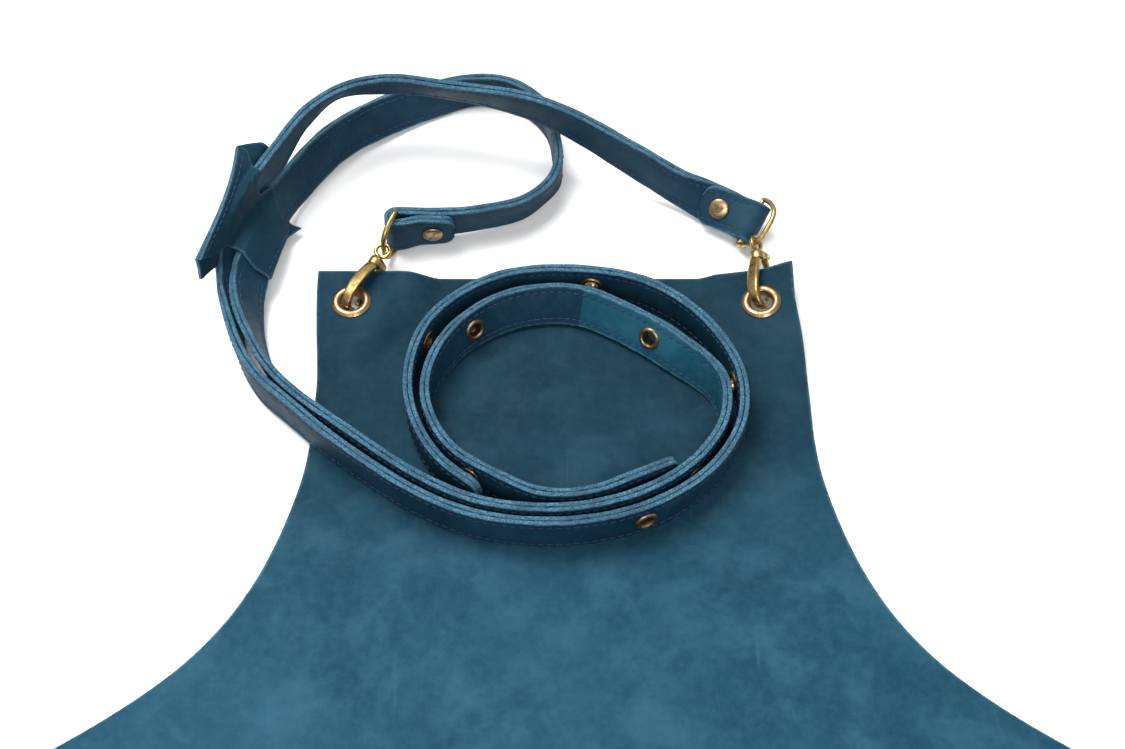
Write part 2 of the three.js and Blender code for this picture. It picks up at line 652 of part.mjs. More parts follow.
function dRingGeometry(place) {
  const points = [];
  for (let i = 0; i <= D_RING.arcSteps; i += 1) {
    points.push(ringBow((Math.PI * i) / D_RING.arcSteps - Math.PI / 2));
  }
  for (const share of [-0.7, 0, 0.7]) points.push([(share * D_RING.bar) / 2, 0]);
  const along = points.map(([a, b]) => place.bar.clone().addScaledVector(place.u, a).addScaledVector(place.toward, b));
  return wireGeometry(along, D_RING.wire / 2, D_RING.sides, place.side, true);
}

// A hook's frame: x from its throat in the grommet to its place on the ring, z away from the sheet, rolled about x.
function hookFrame(seat, place, roll) {
  const level = place.eye.clone().sub(seat.centre).setZ(0).normalize();
  const rise = place.eye.z - seat.centre.z;
  const throat = place.eye.clone().addScaledVector(level, -Math.sqrt(HOOK.length ** 2 - rise ** 2));
  throat.setZ(seat.centre.z);
  const x = place.eye.clone().sub(throat).normalize();
  const y = new THREE.Vector3().crossVectors(UP, x).normalize().applyAxisAngle(x, radians(roll));
  const z = new THREE.Vector3().crossVectors(x, y);
  return { matrix: new THREE.Matrix4().makeBasis(x, y, z).setPosition(throat), throat, x, y, z };
}

const hookPoint = (a, b, h) => new THREE.Vector3(a, b, h);

// A bar of rounded section through rows of place [a, h], width across the hook and thickness in its plane.
function hookBar(rows, steps) {
  const xs = [0];
  for (let i = 1; i < rows.length; i += 1) {
    xs.push(xs[i - 1] + Math.hypot(rows[i].a - rows[i - 1].a, rows[i].h - rows[i - 1].h));
  }
  const values = rows.map((r) => [r.a, r.h, r.width, r.thick]);
  const total = xs[xs.length - 1];
  const at = (s) => splineAt(xs, values, s);
  const rings = Array.from({ length: steps + 1 }, (_, i) => {
    const s = (total * i) / steps;
    const [a, h, width, thick] = at(s);
    const before = at(Math.max(0, s - 0.05));
    const after = at(Math.min(total, s + 0.05));
    const t = new THREE.Vector3(after[0] - before[0], 0, after[1] - before[1]).normalize();
    const across = new THREE.Vector3(-t.z, 0, t.x);
    return Array.from({ length: HOOK.sides }, (_, k) => {
      const angle = (2 * Math.PI * (k + 0.5)) / HOOK.sides;
      const side = new THREE.Vector3(0, (Math.cos(angle) * width) / 2, 0);
      return hookPoint(a, 0, h).add(side).addScaledVector(across, (Math.sin(angle) * thick) / 2);
    });
  });
  return ringsToGeometry(rings);
}

const EYE_RING = EYE.inner / 2 + EYE.wire / 2;
const EYE_CENTRE = HOOK.length - (EYE.inner / 2 - D_RING.wire / 2 - GAP);
const COLLAR_TOP = EYE_CENTRE - EYE_RING - EYE.wire / 2 - GAP;
const COLLAR_BASE = COLLAR_TOP - HOOK.collarLength;
const HEAD_AT = COLLAR_BASE + 1.3 + GAP + EYE.headThick / 2;
const PIVOT = { a: COLLAR_BASE + 3.2, h: -(HOOK.collar / 2 + 1.7) };

function alongHook(radius, from, to, sides) {
  const rod = new THREE.CylinderGeometry(radius, radius, to - from, sides);
  rod.rotateZ(-Math.PI / 2);
  return rod.translate((from + to) / 2, 0, 0);
}

function pinAcross(radius, length) {
  return new THREE.CylinderGeometry(radius, radius, length, CUT_STEPS).translate(PIVOT.a, 0, PIVOT.h);
}

// The claw: nose under the sheet, throat through the grommet, back over it, collar and the lever's two cheeks.
function clawGeometry(matrix) {
  const w = HOOK.width;
  const back = hookBar(
    [
      { a: 3.0, h: -HOOK.drop, width: 0.4 * w, thick: 2.2 },
      { a: 0.9, h: -0.74 * HOOK.drop, width: 0.5 * w, thick: 2.7 },
      { a: 0.0, h: 0, width: 0.62 * w, thick: 3.0 },
      { a: 0.5, h: 0.5 * HOOK.rise, width: 0.76 * w, thick: 3.2 },
      { a: 3.4, h: 0.86 * HOOK.rise, width: 0.9 * w, thick: 3.3 },
      { a: 9.0, h: HOOK.rise, width: w, thick: 3.4 },
      { a: 17.0, h: 0.8 * HOOK.rise, width: w, thick: 3.5 },
      { a: COLLAR_BASE - 1.0, h: 0.28 * HOOK.rise, width: w, thick: 4.0 },
      { a: COLLAR_BASE + 1.6, h: 0.12 * HOOK.rise, width: 0.9 * w, thick: 4.0 },
    ],
    18,
  );
  const collar = alongHook(HOOK.collar / 2, COLLAR_BASE, COLLAR_TOP, 12);
  const cheekReach = LEVER.width / 2 + GAP + LEVER.cheek / 2;
  const cheeks = [-1, 1].map((side) =>
    new THREE.BoxGeometry(3.6, LEVER.cheek, HOOK.collar / 2 + 1.6).translate(
      PIVOT.a,
      side * cheekReach,
      PIVOT.h / 2 - 1.6,
    ),
  );
  const whole = join([back, collar, ...cheeks]);
  const bores = [
    alongHook(EYE.stem / 2 + GAP, HEAD_AT, COLLAR_TOP + 2, CUT_STEPS),
    alongHook(EYE.head / 2 + GAP, HEAD_AT - EYE.headThick / 2 - GAP, HEAD_AT + EYE.headThick / 2 + GAP, CUT_STEPS),
    pinAcross(LEVER.pin / 2 + GAP, 12),
  ];
  return cut(whole, bores).applyMatrix4(matrix);
}

// The lever: pinned under the collar, reaching under the sheet to the nose, with a thumb spur at one side.
function leverGeometry(matrix) {
  const tongue = hookBar(
    [
      { a: PIVOT.a + 1.2, h: PIVOT.h, width: LEVER.width, thick: 2.6 },
      { a: PIVOT.a - 1.4, h: PIVOT.h - 0.9, width: LEVER.width, thick: 2.2 },
      { a: 0.86 * PIVOT.a, h: -0.92 * LEVER.bulge, width: LEVER.width, thick: LEVER.thick },
      { a: 0.6 * PIVOT.a, h: -LEVER.bulge, width: LEVER.width, thick: LEVER.thick },
      { a: 0.35 * PIVOT.a, h: -0.86 * LEVER.bulge, width: LEVER.width, thick: LEVER.thick },
      { a: 5.1, h: -1.05 * HOOK.drop, width: 0.8 * LEVER.width, thick: LEVER.thick },
    ],
    12,
  );
  const pin = pinAcross(LEVER.pin / 2, LEVER.width + 2 * (GAP + LEVER.cheek) + 0.6);
  return join([tongue, pin]).applyMatrix4(matrix);
}

// The swivel eye: a ring through the D ring and a headed stem that turns in the collar.
function eyeGeometry(hook, place) {
  const normal = place.wire.clone().addScaledVector(hook.x, -place.wire.dot(hook.x)).normalize();
  const centre = hook.throat.clone().addScaledVector(hook.x, EYE_CENTRE);
  const upright = new THREE.Vector3().crossVectors(normal, hook.x);
  const points = Array.from({ length: EYE.steps }, (_, i) => {
    const angle = (2 * Math.PI * i) / EYE.steps;
    return centre
      .clone()
      .addScaledVector(hook.x, EYE_RING * Math.cos(angle))
      .addScaledVector(upright, EYE_RING * Math.sin(angle));
  });
  const ring = wireGeometry(points, EYE.wire / 2, EYE.sides, normal, true);
  const stem = alongHook(EYE.stem / 2, HEAD_AT, EYE_CENTRE - EYE_RING, CUT_STEPS).applyMatrix4(hook.matrix);
  const head = alongHook(EYE.head / 2, HEAD_AT - EYE.headThick / 2, HEAD_AT + EYE.headThick / 2, CUT_STEPS);
  return join([ring, stem, head.applyMatrix4(hook.matrix)]);
}

// The yoke's outline at a share across it: how far its end stands out beyond (below zero) or arches in.
function yokeEnd(across) {
  const p = across * YOKE.width;
  const { width, blunt, arch } = YOKE;
  const reach = (p - width / 2) / (width / 2 - blunt);
  const edge = Math.min(p, width - p);
  return (edge < blunt ? -edge : -blunt + (blunt + arch) * (1 - reach ** 2)) / YOKE.length;
}

// Where a line from a place on the yoke's middle surface meets a strap: height to its far side, and how far beyond
// the strap's edge the line passes.
function strapReach(frames, point, n, side) {
  const near = frames.filter((f) => f.p.distanceTo(point) < 2 * STRAP.width);
  if (near.length === 0) return { height: 0, beyond: STRAP.width };
  const drift = (f) => point.clone().sub(f.p).dot(f.t);
  const nearest = near.reduce((best, f) => (Math.abs(drift(f)) < Math.abs(drift(best)) ? f : best));
  const f = frameAtDistance(frames, nearest.s + drift(nearest));
  const offset = point.clone().sub(f.p);
  const facing = n.dot(f.n);
  const middle = -offset.dot(f.n) / facing;
  return {
    height: side * middle + THICK / 2 / Math.abs(facing),
    beyond: Math.abs(offset.dot(f.u) + middle * n.dot(f.u)) - STRAP.width / 2,
  };
}

// How far a layer stands off the yoke's middle surface on the given side so that it clears both straps.
function yokeStand(point, n, side) {
  const rest = GAP / 2 + YOKE.layer / 2;
  return [strapLeft, strapRight].reduce((stand, strap) => {
    const { height, beyond } = strapReach(strap.frames, point, n, side);
    const clear = Math.max(rest, height + 6 * GAP + YOKE.layer / 2);
    return Math.max(stand, rest + (clear - rest) * (1 - smooth((beyond - 5 * GAP) / YOKE.fade)));
  }, rest);
}

function yokeGeometry(side) {
  const grid = (lift) =>
    Array.from({ length: YOKE.rows + 1 }, (_, i) =>
      Array.from({ length: YOKE.columns + 1 }, (_, j) => {
        const plain = j / YOKE.columns;
        const end = yokeEnd(plain);
        const along = end + (1 - 2 * end) * (i / YOKE.rows);
        const across = 0.5 + (plain - 0.5) * (1 - YOKE.waist * Math.max(0, 1 - (2 * along - 1) ** 2));
        const { point, n } = yokeFrame(across, along);
        return point.clone().addScaledVector(n, side * (yokeStand(point, n, side) + lift));
      }),
    );
  return slabGeometry(grid(YOKE.layer / 2), grid(-YOKE.layer / 2));
}

const material = (base) => base.clone();

const group = new THREE.Group();
function addPiece(name, geometry, finish) {
  const mesh = new THREE.Mesh(geometry, material(finish));
  mesh.name = name;
  mesh.geometry.computeVertexNormals();
  group.add(mesh);
}

const stationsRight = strapStations(SHOULDER_RIGHT, PASS_RIGHT, RUN_RIGHT, "outer");
const stationsLeft = strapStations(SHOULDER_LEFT, PASS_LEFT, RUN_LEFT, "inner");
const strapRight = hangStrap(stationsRight, -1, grommetSeat(FLAPS.right), HANG.right);
const strapLeft = hangStrap(stationsLeft, 1, grommetSeat(FLAPS.left), HANG.left);

addPiece("apron_body", sheetGeometry(), leather);
for (const side of ["right", "left"]) {
  const strap = side === "right" ? strapRight : strapLeft;
  const eyelets = eyeletFrames(strap.frames);
  const { rivet } = strap.fold;
  const holes = [...eyelets.map(eyeletHole), rodGeometry(RIVET.shank / 2 + GAP, 6 * THICK, CUT_STEPS, rivet)];
  addPiece(`strap_${side}_face`, strapLayer(strap.frames, 1, holes), strapLeather);
  addPiece(`strap_${side}_lining`, strapLayer(strap.frames, -1, holes), strapLeather);
  eyelets.forEach((frame, k) => addPiece(`eyelet_${side}_${k + 1}`, eyeletGeometry(frame), brass));
  addPiece(`rivet_${side}`, rivetGeometry(rivet), brass);
  const seat = grommetSeat(FLAPS[side]);
  addPiece(`bib_grommet_${side}`, grommetGeometry(seat, GROMMET.hole, GROMMET.flange, GROMMET.under, false), copper);
  const waist = waistSeat(side === "right" ? 1 : -1);
  const { hole, flange } = WAIST_GROMMET;
  addPiece(`waist_grommet_${side}`, grommetGeometry(waist, hole, flange, flange, true), copper);
  const { place, hook } = strap;
  addPiece(`d_ring_${side}`, dRingGeometry(place), brass);
  addPiece(`hook_eye_${side}`, eyeGeometry(hook, place), brass);
  addPiece(`hook_claw_${side}`, clawGeometry(hook.matrix), brass);
  addPiece(`hook_lever_${side}`, leverGeometry(hook.matrix), brass);
}
addPiece("yoke_front", yokeGeometry(1), leather);
addPiece("yoke_back", yokeGeometry(-1), leather);

const bounds = new THREE.Box3().setFromObject(group);
const origin = bounds.getCenter(new THREE.Vector3()).setZ(bounds.min.z);
group.children.forEach((mesh) => mesh.geometry.translate(-origin.x, -origin.y, -origin.z));

export default group;
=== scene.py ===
"""A leather grill apron lying flat, its sewn straps gathered on the bib and its hooks clipped into grommets.

Places are in millimetres, measured from a point on the bib's centre line, SheetSizes.bib_top below its top edge,
at the height of the table. Row.metres turns them into the frame's metres. Paths are whole numpy arrays.
"""

import logging
import math
from dataclasses import dataclass, field
from enum import Enum

import bmesh
import bpy
import numpy as np
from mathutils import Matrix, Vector

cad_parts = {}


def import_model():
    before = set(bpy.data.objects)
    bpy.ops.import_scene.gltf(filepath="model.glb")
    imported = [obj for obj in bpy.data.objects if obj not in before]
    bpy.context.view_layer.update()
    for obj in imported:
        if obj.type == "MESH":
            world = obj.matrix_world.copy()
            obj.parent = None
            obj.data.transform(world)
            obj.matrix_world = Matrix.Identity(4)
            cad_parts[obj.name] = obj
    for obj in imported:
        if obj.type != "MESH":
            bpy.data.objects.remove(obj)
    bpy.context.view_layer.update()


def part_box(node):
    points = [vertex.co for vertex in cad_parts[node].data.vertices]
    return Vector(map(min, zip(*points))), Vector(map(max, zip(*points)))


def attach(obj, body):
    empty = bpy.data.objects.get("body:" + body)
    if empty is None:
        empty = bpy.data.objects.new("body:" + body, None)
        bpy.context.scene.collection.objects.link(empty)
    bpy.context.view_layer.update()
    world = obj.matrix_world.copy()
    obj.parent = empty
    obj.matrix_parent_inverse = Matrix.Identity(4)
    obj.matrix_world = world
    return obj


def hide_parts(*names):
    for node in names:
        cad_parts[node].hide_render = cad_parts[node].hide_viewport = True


Array = np.ndarray
log = logging.getLogger("grill_apron")

GAP = 0.3
UP = np.array([0.0, 0.0, 1.0])


class Body(Enum):
    """The frame's bodies that a piece can ride on."""

    APRON = "apron"
    CLAW_LEFT = "claw_left"
    CLAW_RIGHT = "claw_right"
    LEVER_LEFT = "lever_left"
    LEVER_RIGHT = "lever_right"


class Slot(Enum):
    """The record's material slots."""

    APRON_LEATHER = "apron_leather"
    STRAP_LEATHER = "strap_leather"
    BRASS = "brass"
    COPPER_BRASS = "copper_brass"


class Finish(Enum):
    """The finishes that faces can take."""

    PULL_UP = "pull_up_leather"
    STRAP = "strap_leather"
    LINING = "strap_flesh_side"
    CUT_EDGE = "cut_edge"
    THREAD = "waxed_thread"
    BRASS = "antique_brass"
    COPPER = "copper_brass"
    BRONZE = "antique_bronze"


# Curves and surfaces


def smooth(value: Array | float) -> Array:
    """Ease from 0 to 1: three squares less two cubes of the clipped value."""
    v = np.clip(value, 0.0, 1.0)
    return v * v * (3 - 2 * v)


def unit(rows: Array) -> Array:
    """Scale each row to length one."""
    return rows / np.linalg.norm(rows, axis=-1, keepdims=True)


def square_to(rows: Array, axis: Array) -> Array:
    """Take from each row its part along the axis row, and scale the rest to length one."""
    return unit(rows - np.sum(rows * axis, -1, keepdims=True) * axis)


def spline(xs: Array, rows: Array, x: Array) -> Array:
    """A cubic through rows at the places xs, whose slope at a row weighs the chords on both sides by their lengths.

    Args:
        xs: Rising places of the rows.
        rows: One row of values for each place.
        x: Where to read the curve.

    Returns:
        One row of values for each x.
    """
    xs, rows, x = np.asarray(xs, float), np.asarray(rows, float), np.atleast_1d(np.asarray(x, float))
    h = np.diff(xs)[:, None]
    chord = np.diff(rows, axis=0) / h
    inner = (chord[:-1] * h[1:] + chord[1:] * h[:-1]) / (h[1:] + h[:-1])
    slope = np.vstack([1.5 * chord[:1] - 0.5 * inner[:1], inner, 1.5 * chord[-1:] - 0.5 * inner[-1:]])
    i = np.clip(np.searchsorted(xs, x) - 1, 0, len(xs) - 2)
    step = h[i]
    t = ((x - xs[i]) / step[:, 0])[:, None]
    return (
        (2 * t**3 - 3 * t**2 + 1) * rows[i]
        + (t**3 - 2 * t**2 + t) * step * slope[i]
        + (3 * t**2 - 2 * t**3) * rows[i + 1]
        + (t**3 - t**2) * step * slope[i + 1]
    )


def run_of(points: Array) -> Array:
    """The distance run along points, 0 at the first."""
    return np.concatenate([[0.0], np.cumsum(np.linalg.norm(np.diff(points, axis=0), axis=1))])


def through(rows: list[tuple[float, ...]], count: int, reach: int = 2) -> Array:
    """A smooth curve through rows, read at even steps of the distance run over their first columns.

    Args:
        rows: The rows to pass through.
        count: How many rows to return.
        reach: How many leading columns are places.

    Returns:
        The rows of the curve.
    """
    table = np.array(rows, float)
    xs = run_of(table[:, :reach])
    return spline(xs, table, np.linspace(0, xs[-1], count))


@dataclass
class Frames:
    """Frames along a path: points p, directions t along, u across and n off it, and the distance s."""

    p: Array
    t: Array
    u: Array
    n: Array
    s: Array

    @classmethod
    def along(cls, p: Array, u: Array, looped: bool = False) -> "Frames":
        """Frames at points p, whose u is made square to the path.

        Args:
            p: Points of the path.
            u: The wanted direction across at each point.
            looped: Whether the last point leads back to the first.

        Returns:
            The frames, with n as t crossed with u.
        """
        if looped:
            ahead, behind = np.roll(p, -1, 0), np.roll(p, 1, 0)
        else:
            ahead, behind = np.vstack([p[1:], p[-1:]]), np.vstack([p[:1], p[:-1]])
        t = unit(ahead - behind)
        square = square_to(u, t)
        return cls(p, t, square, np.cross(t, square), run_of(p))

    def at(self, s: Array | float) -> "Frames":
        """The frames at distances s, each value taken between its neighbours."""
        s = np.atleast_1d(np.asarray(s, float))
        parts = (self.p, self.t, self.u, self.n)
        rows = [np.stack([np.interp(s, self.s, part[:, k]) for k in range(3)], 1) for part in parts]
        return Frames(rows[0], unit(rows[1]), unit(rows[2]), unit(rows[3]), s)

    def place(self, local: Array) -> Array:
        """Points given as (along, across, off) about each frame: local is (frames, points, 3)."""
        return (
            self.p[:, None]
            + local[..., :1] * self.t[:, None]
            + local[..., 1:2] * self.u[:, None]
            + local[..., 2:] * self.n[:, None]
        )


@dataclass
class Patch:
    """A part of a piece: points, faces of four corners, caps of more, the faces' finishes and the points' marks."""

    points: Array
    quads: Array
    finish: Array
    caps: list[list[int]] = field(default_factory=list)
    marks: dict[str, Array] = field(default_factory=dict)

    def outward(self) -> "Patch":
        """Turn the faces over where they enclose a negative volume, summed over their fans."""
        a, b, c, d = (self.points[self.quads[:, k]] for k in range(4))
        volume = np.sum(a * np.cross(b, c)) + np.sum(a * np.cross(c, d))
        for cap in self.caps:
            fan = self.points[cap]
            volume += np.sum(fan[0] * np.cross(fan[1:-1], fan[2:]))
        if volume < 0:
            self.quads = self.quads[:, ::-1]
            self.caps = [cap[::-1] for cap in self.caps]
        return self


def grid_quads(rows: int, columns: int, close_rows: bool = False, close_columns: bool = False) -> Array:
    """The quads of a grid of points, each joining a point to its next row and column.

    Args:
        rows: Rows of points.
        columns: Points in a row.
        close_rows: Whether the last row joins the first.
        close_columns: Whether the last column joins the first.

    Returns:
        Corner indices, one row for each quad.
    """
    i = np.arange(rows if close_rows else rows - 1)[:, None]
    j = np.arange(columns if close_columns else columns - 1)[None, :]
    after, beside = (i + 1) % rows, (j + 1) % columns
    corners = [i * columns + j, i * columns + beside, after * columns + beside, after * columns + j]
    return np.stack(np.broadcast_arrays(*corners), -1).reshape(-1, 4)


def tube(
    rings: Array, looped: bool = False, finish: Array | int = 0, marks: dict[str, Array] | None = None
) -> Patch:
    """A closed tube through rings of equal size.

    Args:
        rings: Points as (rings, points in a ring, 3).
        looped: Whether the last ring joins the first instead of a cap at each end.
        finish: One finish for all, one for each face round a ring, or one for each face of each span.
        marks: Values of the points, each as (rings, points in a ring).

    Returns:
        The patch with its faces outward.
    """
    count, size = rings.shape[:2]
    quads = grid_quads(count, size, close_rows=looped, close_columns=True)
    spans = count if looped else count - 1
    caps = [] if looped else [list(range(size))[::-1], list(range((count - 1) * size, count * size))]
    around = np.full(size, finish) if np.isscalar(finish) else finish
    flat = {name: values.reshape(-1) for name, values in (marks or {}).items()}
    numbers = np.broadcast_to(around, (spans, size)).reshape(-1)
    return Patch(rings.reshape(-1, 3), quads, numbers, caps, flat).outward()


def turned(profile: Array, sides: int, frames: Frames) -> Patch:
    """A turned form: each profile row of (radius, height) is a circle about n of the one given frame.

    Args:
        profile: Rows of radius and height, closed by joining the last to the first.
        sides: Points in a circle.
        frames: One frame, whose n is the axis.

    Returns:
        The patch with its faces outward.
    """
    angle = np.linspace(0, 2 * math.pi, sides, endpoint=False)
    r, z = profile[:, :1], np.broadcast_to(profile[:, 1:2], (len(profile), sides))
    local = np.stack([r * np.cos(angle), r * np.sin(angle), z], -1)
    rings = frames.place(local.reshape(1, -1, 3)).reshape(len(profile), sides, 3)
    return tube(rings, looped=True)


def wire(points: Array, side: Array, radius: float, sides: int) -> Patch:
    """A round wire along a closed ring of points that lie square to side."""
    frames = Frames.along(points, np.broadcast_to(side, points.shape), looped=True)
    angle = np.linspace(0, 2 * math.pi, sides, endpoint=False)
    local = np.stack([0 * angle, radius * np.cos(angle), radius * np.sin(angle)], -1)
    return tube(frames.place(np.broadcast_to(local, (len(points), sides, 3))), looped=True)


# Finishes


@dataclass
class Graph:
    """Adds shader nodes to a material and joins them."""

    material: bpy.types.Material

    def __post_init__(self) -> None:
        """Clear the node tree and add the surface shader."""
        self.material.use_nodes = True
        self.tree = self.material.node_tree
        self.tree.nodes.clear()
        self.shader = self.tree.nodes.new("ShaderNodeBsdfPrincipled")
        output = self.tree.nodes.new("ShaderNodeOutputMaterial")
        self.join(self.shader.outputs["BSDF"], output.inputs["Surface"])
        self.coordinates = self.tree.nodes.new("ShaderNodeTexCoord").outputs["Object"]

    def join(self, source: bpy.types.NodeSocket, target: bpy.types.NodeSocket) -> None:
        """Link two sockets."""
        self.tree.links.new(source, target)

    def stretched(self, scale: tuple[float, float, float], turn: float = 0.0) -> bpy.types.NodeSocket:
        """Object coordinates turned about Z and scaled along each axis."""
        node = self.tree.nodes.new("ShaderNodeMapping")
        node.inputs["Scale"].default_value = scale
        node.inputs["Rotation"].default_value = (0, 0, turn)
        self.join(self.coordinates, node.inputs["Vector"])
        return node.outputs["Vector"]

    def noise(
        self,
        scale: float,
        detail: float = 4.0,
        rough: float = 0.55,
        at: bpy.types.NodeSocket | None = None,
        twist: float = 0.0,
    ) -> bpy.types.NodeSocket:
        """Fractal noise of so many features a metre, as a value from 0 to 1."""
        node = self.tree.nodes.new("ShaderNodeTexNoise")
        node.inputs["Scale"].default_value = scale
        node.inputs["Detail"].default_value = detail
        node.inputs["Roughness"].default_value = rough
        node.inputs["Distortion"].default_value = twist
        self.join(at or self.coordinates, node.inputs["Vector"])
        return node.outputs["Fac"]

    def cells(self, scale: float, at: bpy.types.NodeSocket | None = None) -> bpy.types.NodeSocket:
        """Distance to the nearest cell border of a Voronoi pattern."""
        node = self.tree.nodes.new("ShaderNodeTexVoronoi")
        node.feature = "DISTANCE_TO_EDGE"
        node.inputs["Scale"].default_value = scale
        self.join(at or self.coordinates, node.inputs["Vector"])
        return node.outputs["Distance"]

    def mark(self, name: str) -> bpy.types.NodeSocket:
        """A value stored on the mesh's points."""
        node = self.tree.nodes.new("ShaderNodeAttribute")
        node.attribute_name = name
        return node.outputs["Fac"]

    def row(self) -> bpy.types.NodeSocket:
        """The place along the apron, in metres."""
        node = self.tree.nodes.new("ShaderNodeSeparateXYZ")
        self.join(self.coordinates, node.inputs[0])
        return node.outputs["Y"]

    def dimmed(self, colour: bpy.types.NodeSocket, share: bpy.types.NodeSocket) -> bpy.types.NodeSocket:
        """A colour times a share."""
        node = self.tree.nodes.new("ShaderNodeVectorMath")
        node.operation = "SCALE"
        self.join(colour, node.inputs[0])
        self.join(share, node.inputs["Scale"])
        return node.outputs["Vector"]

    def span(
        self, value: bpy.types.NodeSocket, low: float, high: float, start: float = 0.0, end: float = 1.0
    ) -> bpy.types.NodeSocket:
        """Map a value from low to high onto start to end, held at both."""
        node = self.tree.nodes.new("ShaderNodeMapRange")
        node.interpolation_type = "SMOOTHSTEP"
        for name, number in zip(("From Min", "From Max", "To Min", "To Max"), (low, high, start, end)):
            node.inputs[name].default_value = number
        self.join(value, node.inputs["Value"])
        return node.outputs["Result"]

    def maths(self, kind: str, a: bpy.types.NodeSocket, b: bpy.types.NodeSocket | float) -> bpy.types.NodeSocket:
        """One sum on two values, named as the Math node names it."""
        node = self.tree.nodes.new("ShaderNodeMath")
        node.operation = kind
        self.join(a, node.inputs[0])
        if isinstance(b, (int, float)):
            node.inputs[1].default_value = b
        else:
            self.join(b, node.inputs[1])
        return node.outputs["Value"]

    def blend(
        self,
        share: bpy.types.NodeSocket,
        a: bpy.types.NodeSocket | tuple[float, float, float],
        b: bpy.types.NodeSocket | tuple[float, float, float],
    ) -> bpy.types.NodeSocket:
        """Mix colour a into colour b by the share."""
        node = self.tree.nodes.new("ShaderNodeMix")
        node.data_type = "RGBA"
        self.join(share, node.inputs["Factor"])
        for name, colour in (("A", a), ("B", b)):
            socket = next(s for s in node.inputs if s.name == name and s.type == "RGBA")
            if isinstance(colour, tuple):
                socket.default_value = (*colour, 1.0)
            else:
                self.join(colour, socket)
        return next(s for s in node.outputs if s.type == "RGBA")

    def relief(
        self, height: bpy.types.NodeSocket, depth: float, under: bpy.types.NodeSocket | None = None
    ) -> bpy.types.NodeSocket:
        """Bump of a height from 0 to 1, depth metres deep, on top of another."""
        node = self.tree.nodes.new("ShaderNodeBump")
        node.inputs["Distance"].default_value = depth
        node.inputs["Strength"].default_value = 1.0
        self.join(height, node.inputs["Height"])
        if under is not None:
            self.join(under, node.inputs["Normal"])
        return node.outputs["Normal"]


@dataclass(frozen=True)
class Leather:
    """Waxed pull-up leather: a mottled ground, paler rubbed marks, pores and a crinkled grain, with a painted shade
    that can darken it along the apron.
    """

    deep: tuple[float, float, float] = (0.0065, 0.039, 0.067)
    ground: tuple[float, float, float] = (0.011, 0.056, 0.093)
    pale: tuple[float, float, float] = (0.03, 0.098, 0.148)
    rubbed: tuple[float, float, float] = (0.075, 0.18, 0.245)
    grain: float = 1100.0
    depth: float = 0.00012
    rough: float = 0.62
    worn: float = 0.75
    marks: float = 0.13
    gloss: float = 0.06
    # Painted shade: along the apron the colour falls to this share between the two places below, in metres, so the bib
    # is darker than the skirt.
    painted_shade: float = 1.0
    painted_shade_from: float = 0.13
    painted_shade_to: float = 0.27

    def dress(self, name: str) -> bpy.types.Material:
        """Build the material.

        Args:
            name: The material's name.

        Returns:
            The material. It reads Object coordinates and the mark edge, the millimetres from a cut edge.
        """
        material = bpy.data.materials.new(name)
        graph = Graph(material)
        cloud = graph.span(graph.noise(11.0, 7, 0.62, twist=0.6), 0.34, 0.66)
        patch = graph.span(graph.noise(36.0, 6, 0.6, twist=0.4), 0.42, 0.72)
        fine = graph.span(graph.noise(240.0, 5, 0.65), 0.3, 0.75)
        colour = graph.blend(cloud, self.deep, self.ground)
        colour = graph.blend(graph.maths("MULTIPLY", patch, 0.55), colour, self.pale)
        colour = graph.blend(graph.maths("MULTIPLY", fine, 0.28), colour, self.pale)
        streak = graph.noise(1.0, 3, 0.5, graph.stretched((150.0, 14.0, 40.0), 0.35), 0.8)
        cross = graph.noise(1.0, 3, 0.5, graph.stretched((18.0, 130.0, 40.0), -0.3), 0.8)
        rubs = graph.maths("MAXIMUM", graph.span(streak, 0.66, 0.80), graph.span(cross, 0.68, 0.82))
        colour = graph.blend(graph.maths("MULTIPLY", rubs, self.marks), colour, self.rubbed)
        wear = graph.span(graph.mark("edge"), 0.2, 1.6, self.worn, 0.0)
        wear = graph.maths("MULTIPLY", wear, graph.span(graph.noise(300.0, 4), 0.3, 0.62))
        colour = graph.blend(wear, colour, self.rubbed)
        # Painted shade: the colour is dimmed along the apron towards the bib's top.
        if self.painted_shade < 1:
            share = graph.span(graph.row(), self.painted_shade_from, self.painted_shade_to, 1.0, self.painted_shade)
            colour = graph.dimmed(colour, share)
        graph.join(colour, graph.shader.inputs["Base Color"])
        rough = graph.span(graph.noise(90.0, 5), 0.25, 0.75, self.rough - 0.07, self.rough + 0.09)
        graph.join(rough, graph.shader.inputs["Roughness"])
        pores = graph.span(graph.cells(self.grain), 0.0, 0.16)
        crinkle = graph.noise(self.grain * 0.5, 6, 0.7)
        low = graph.relief(graph.noise(60.0, 3), 0.0006)
        mid = graph.relief(crinkle, self.depth, low)
        graph.join(graph.relief(pores, self.depth * 0.35, mid), graph.shader.inputs["Normal"])
        graph.shader.inputs["Specular IOR Level"].default_value = self.gloss
        return material


@dataclass(frozen=True)
class RawEdge:
    """The cut through the hide: paler fibres in short streaks, waxed dark in places."""

    dark: tuple[float, float, float] = (0.012, 0.05, 0.09)
    fibre: tuple[float, float, float] = (0.085, 0.215, 0.315)

    def dress(self, name: str) -> bpy.types.Material:
        """Build the material under the given name."""
        material = bpy.data.materials.new(name)
        graph = Graph(material)
        fibres = graph.span(graph.noise(1100.0, 5, 0.75), 0.36, 0.62)
        wax = graph.span(graph.noise(70.0, 4), 0.38, 0.66)
        colour = graph.blend(fibres, self.dark, self.fibre)
        colour = graph.blend(graph.maths("MULTIPLY", wax, 0.55), colour, self.dark)
        graph.join(colour, graph.shader.inputs["Base Color"])
        graph.join(graph.relief(fibres, 0.00025), graph.shader.inputs["Normal"])
        graph.shader.inputs["Roughness"].default_value = 0.78
        graph.shader.inputs["Specular IOR Level"].default_value = 0.3
        return material


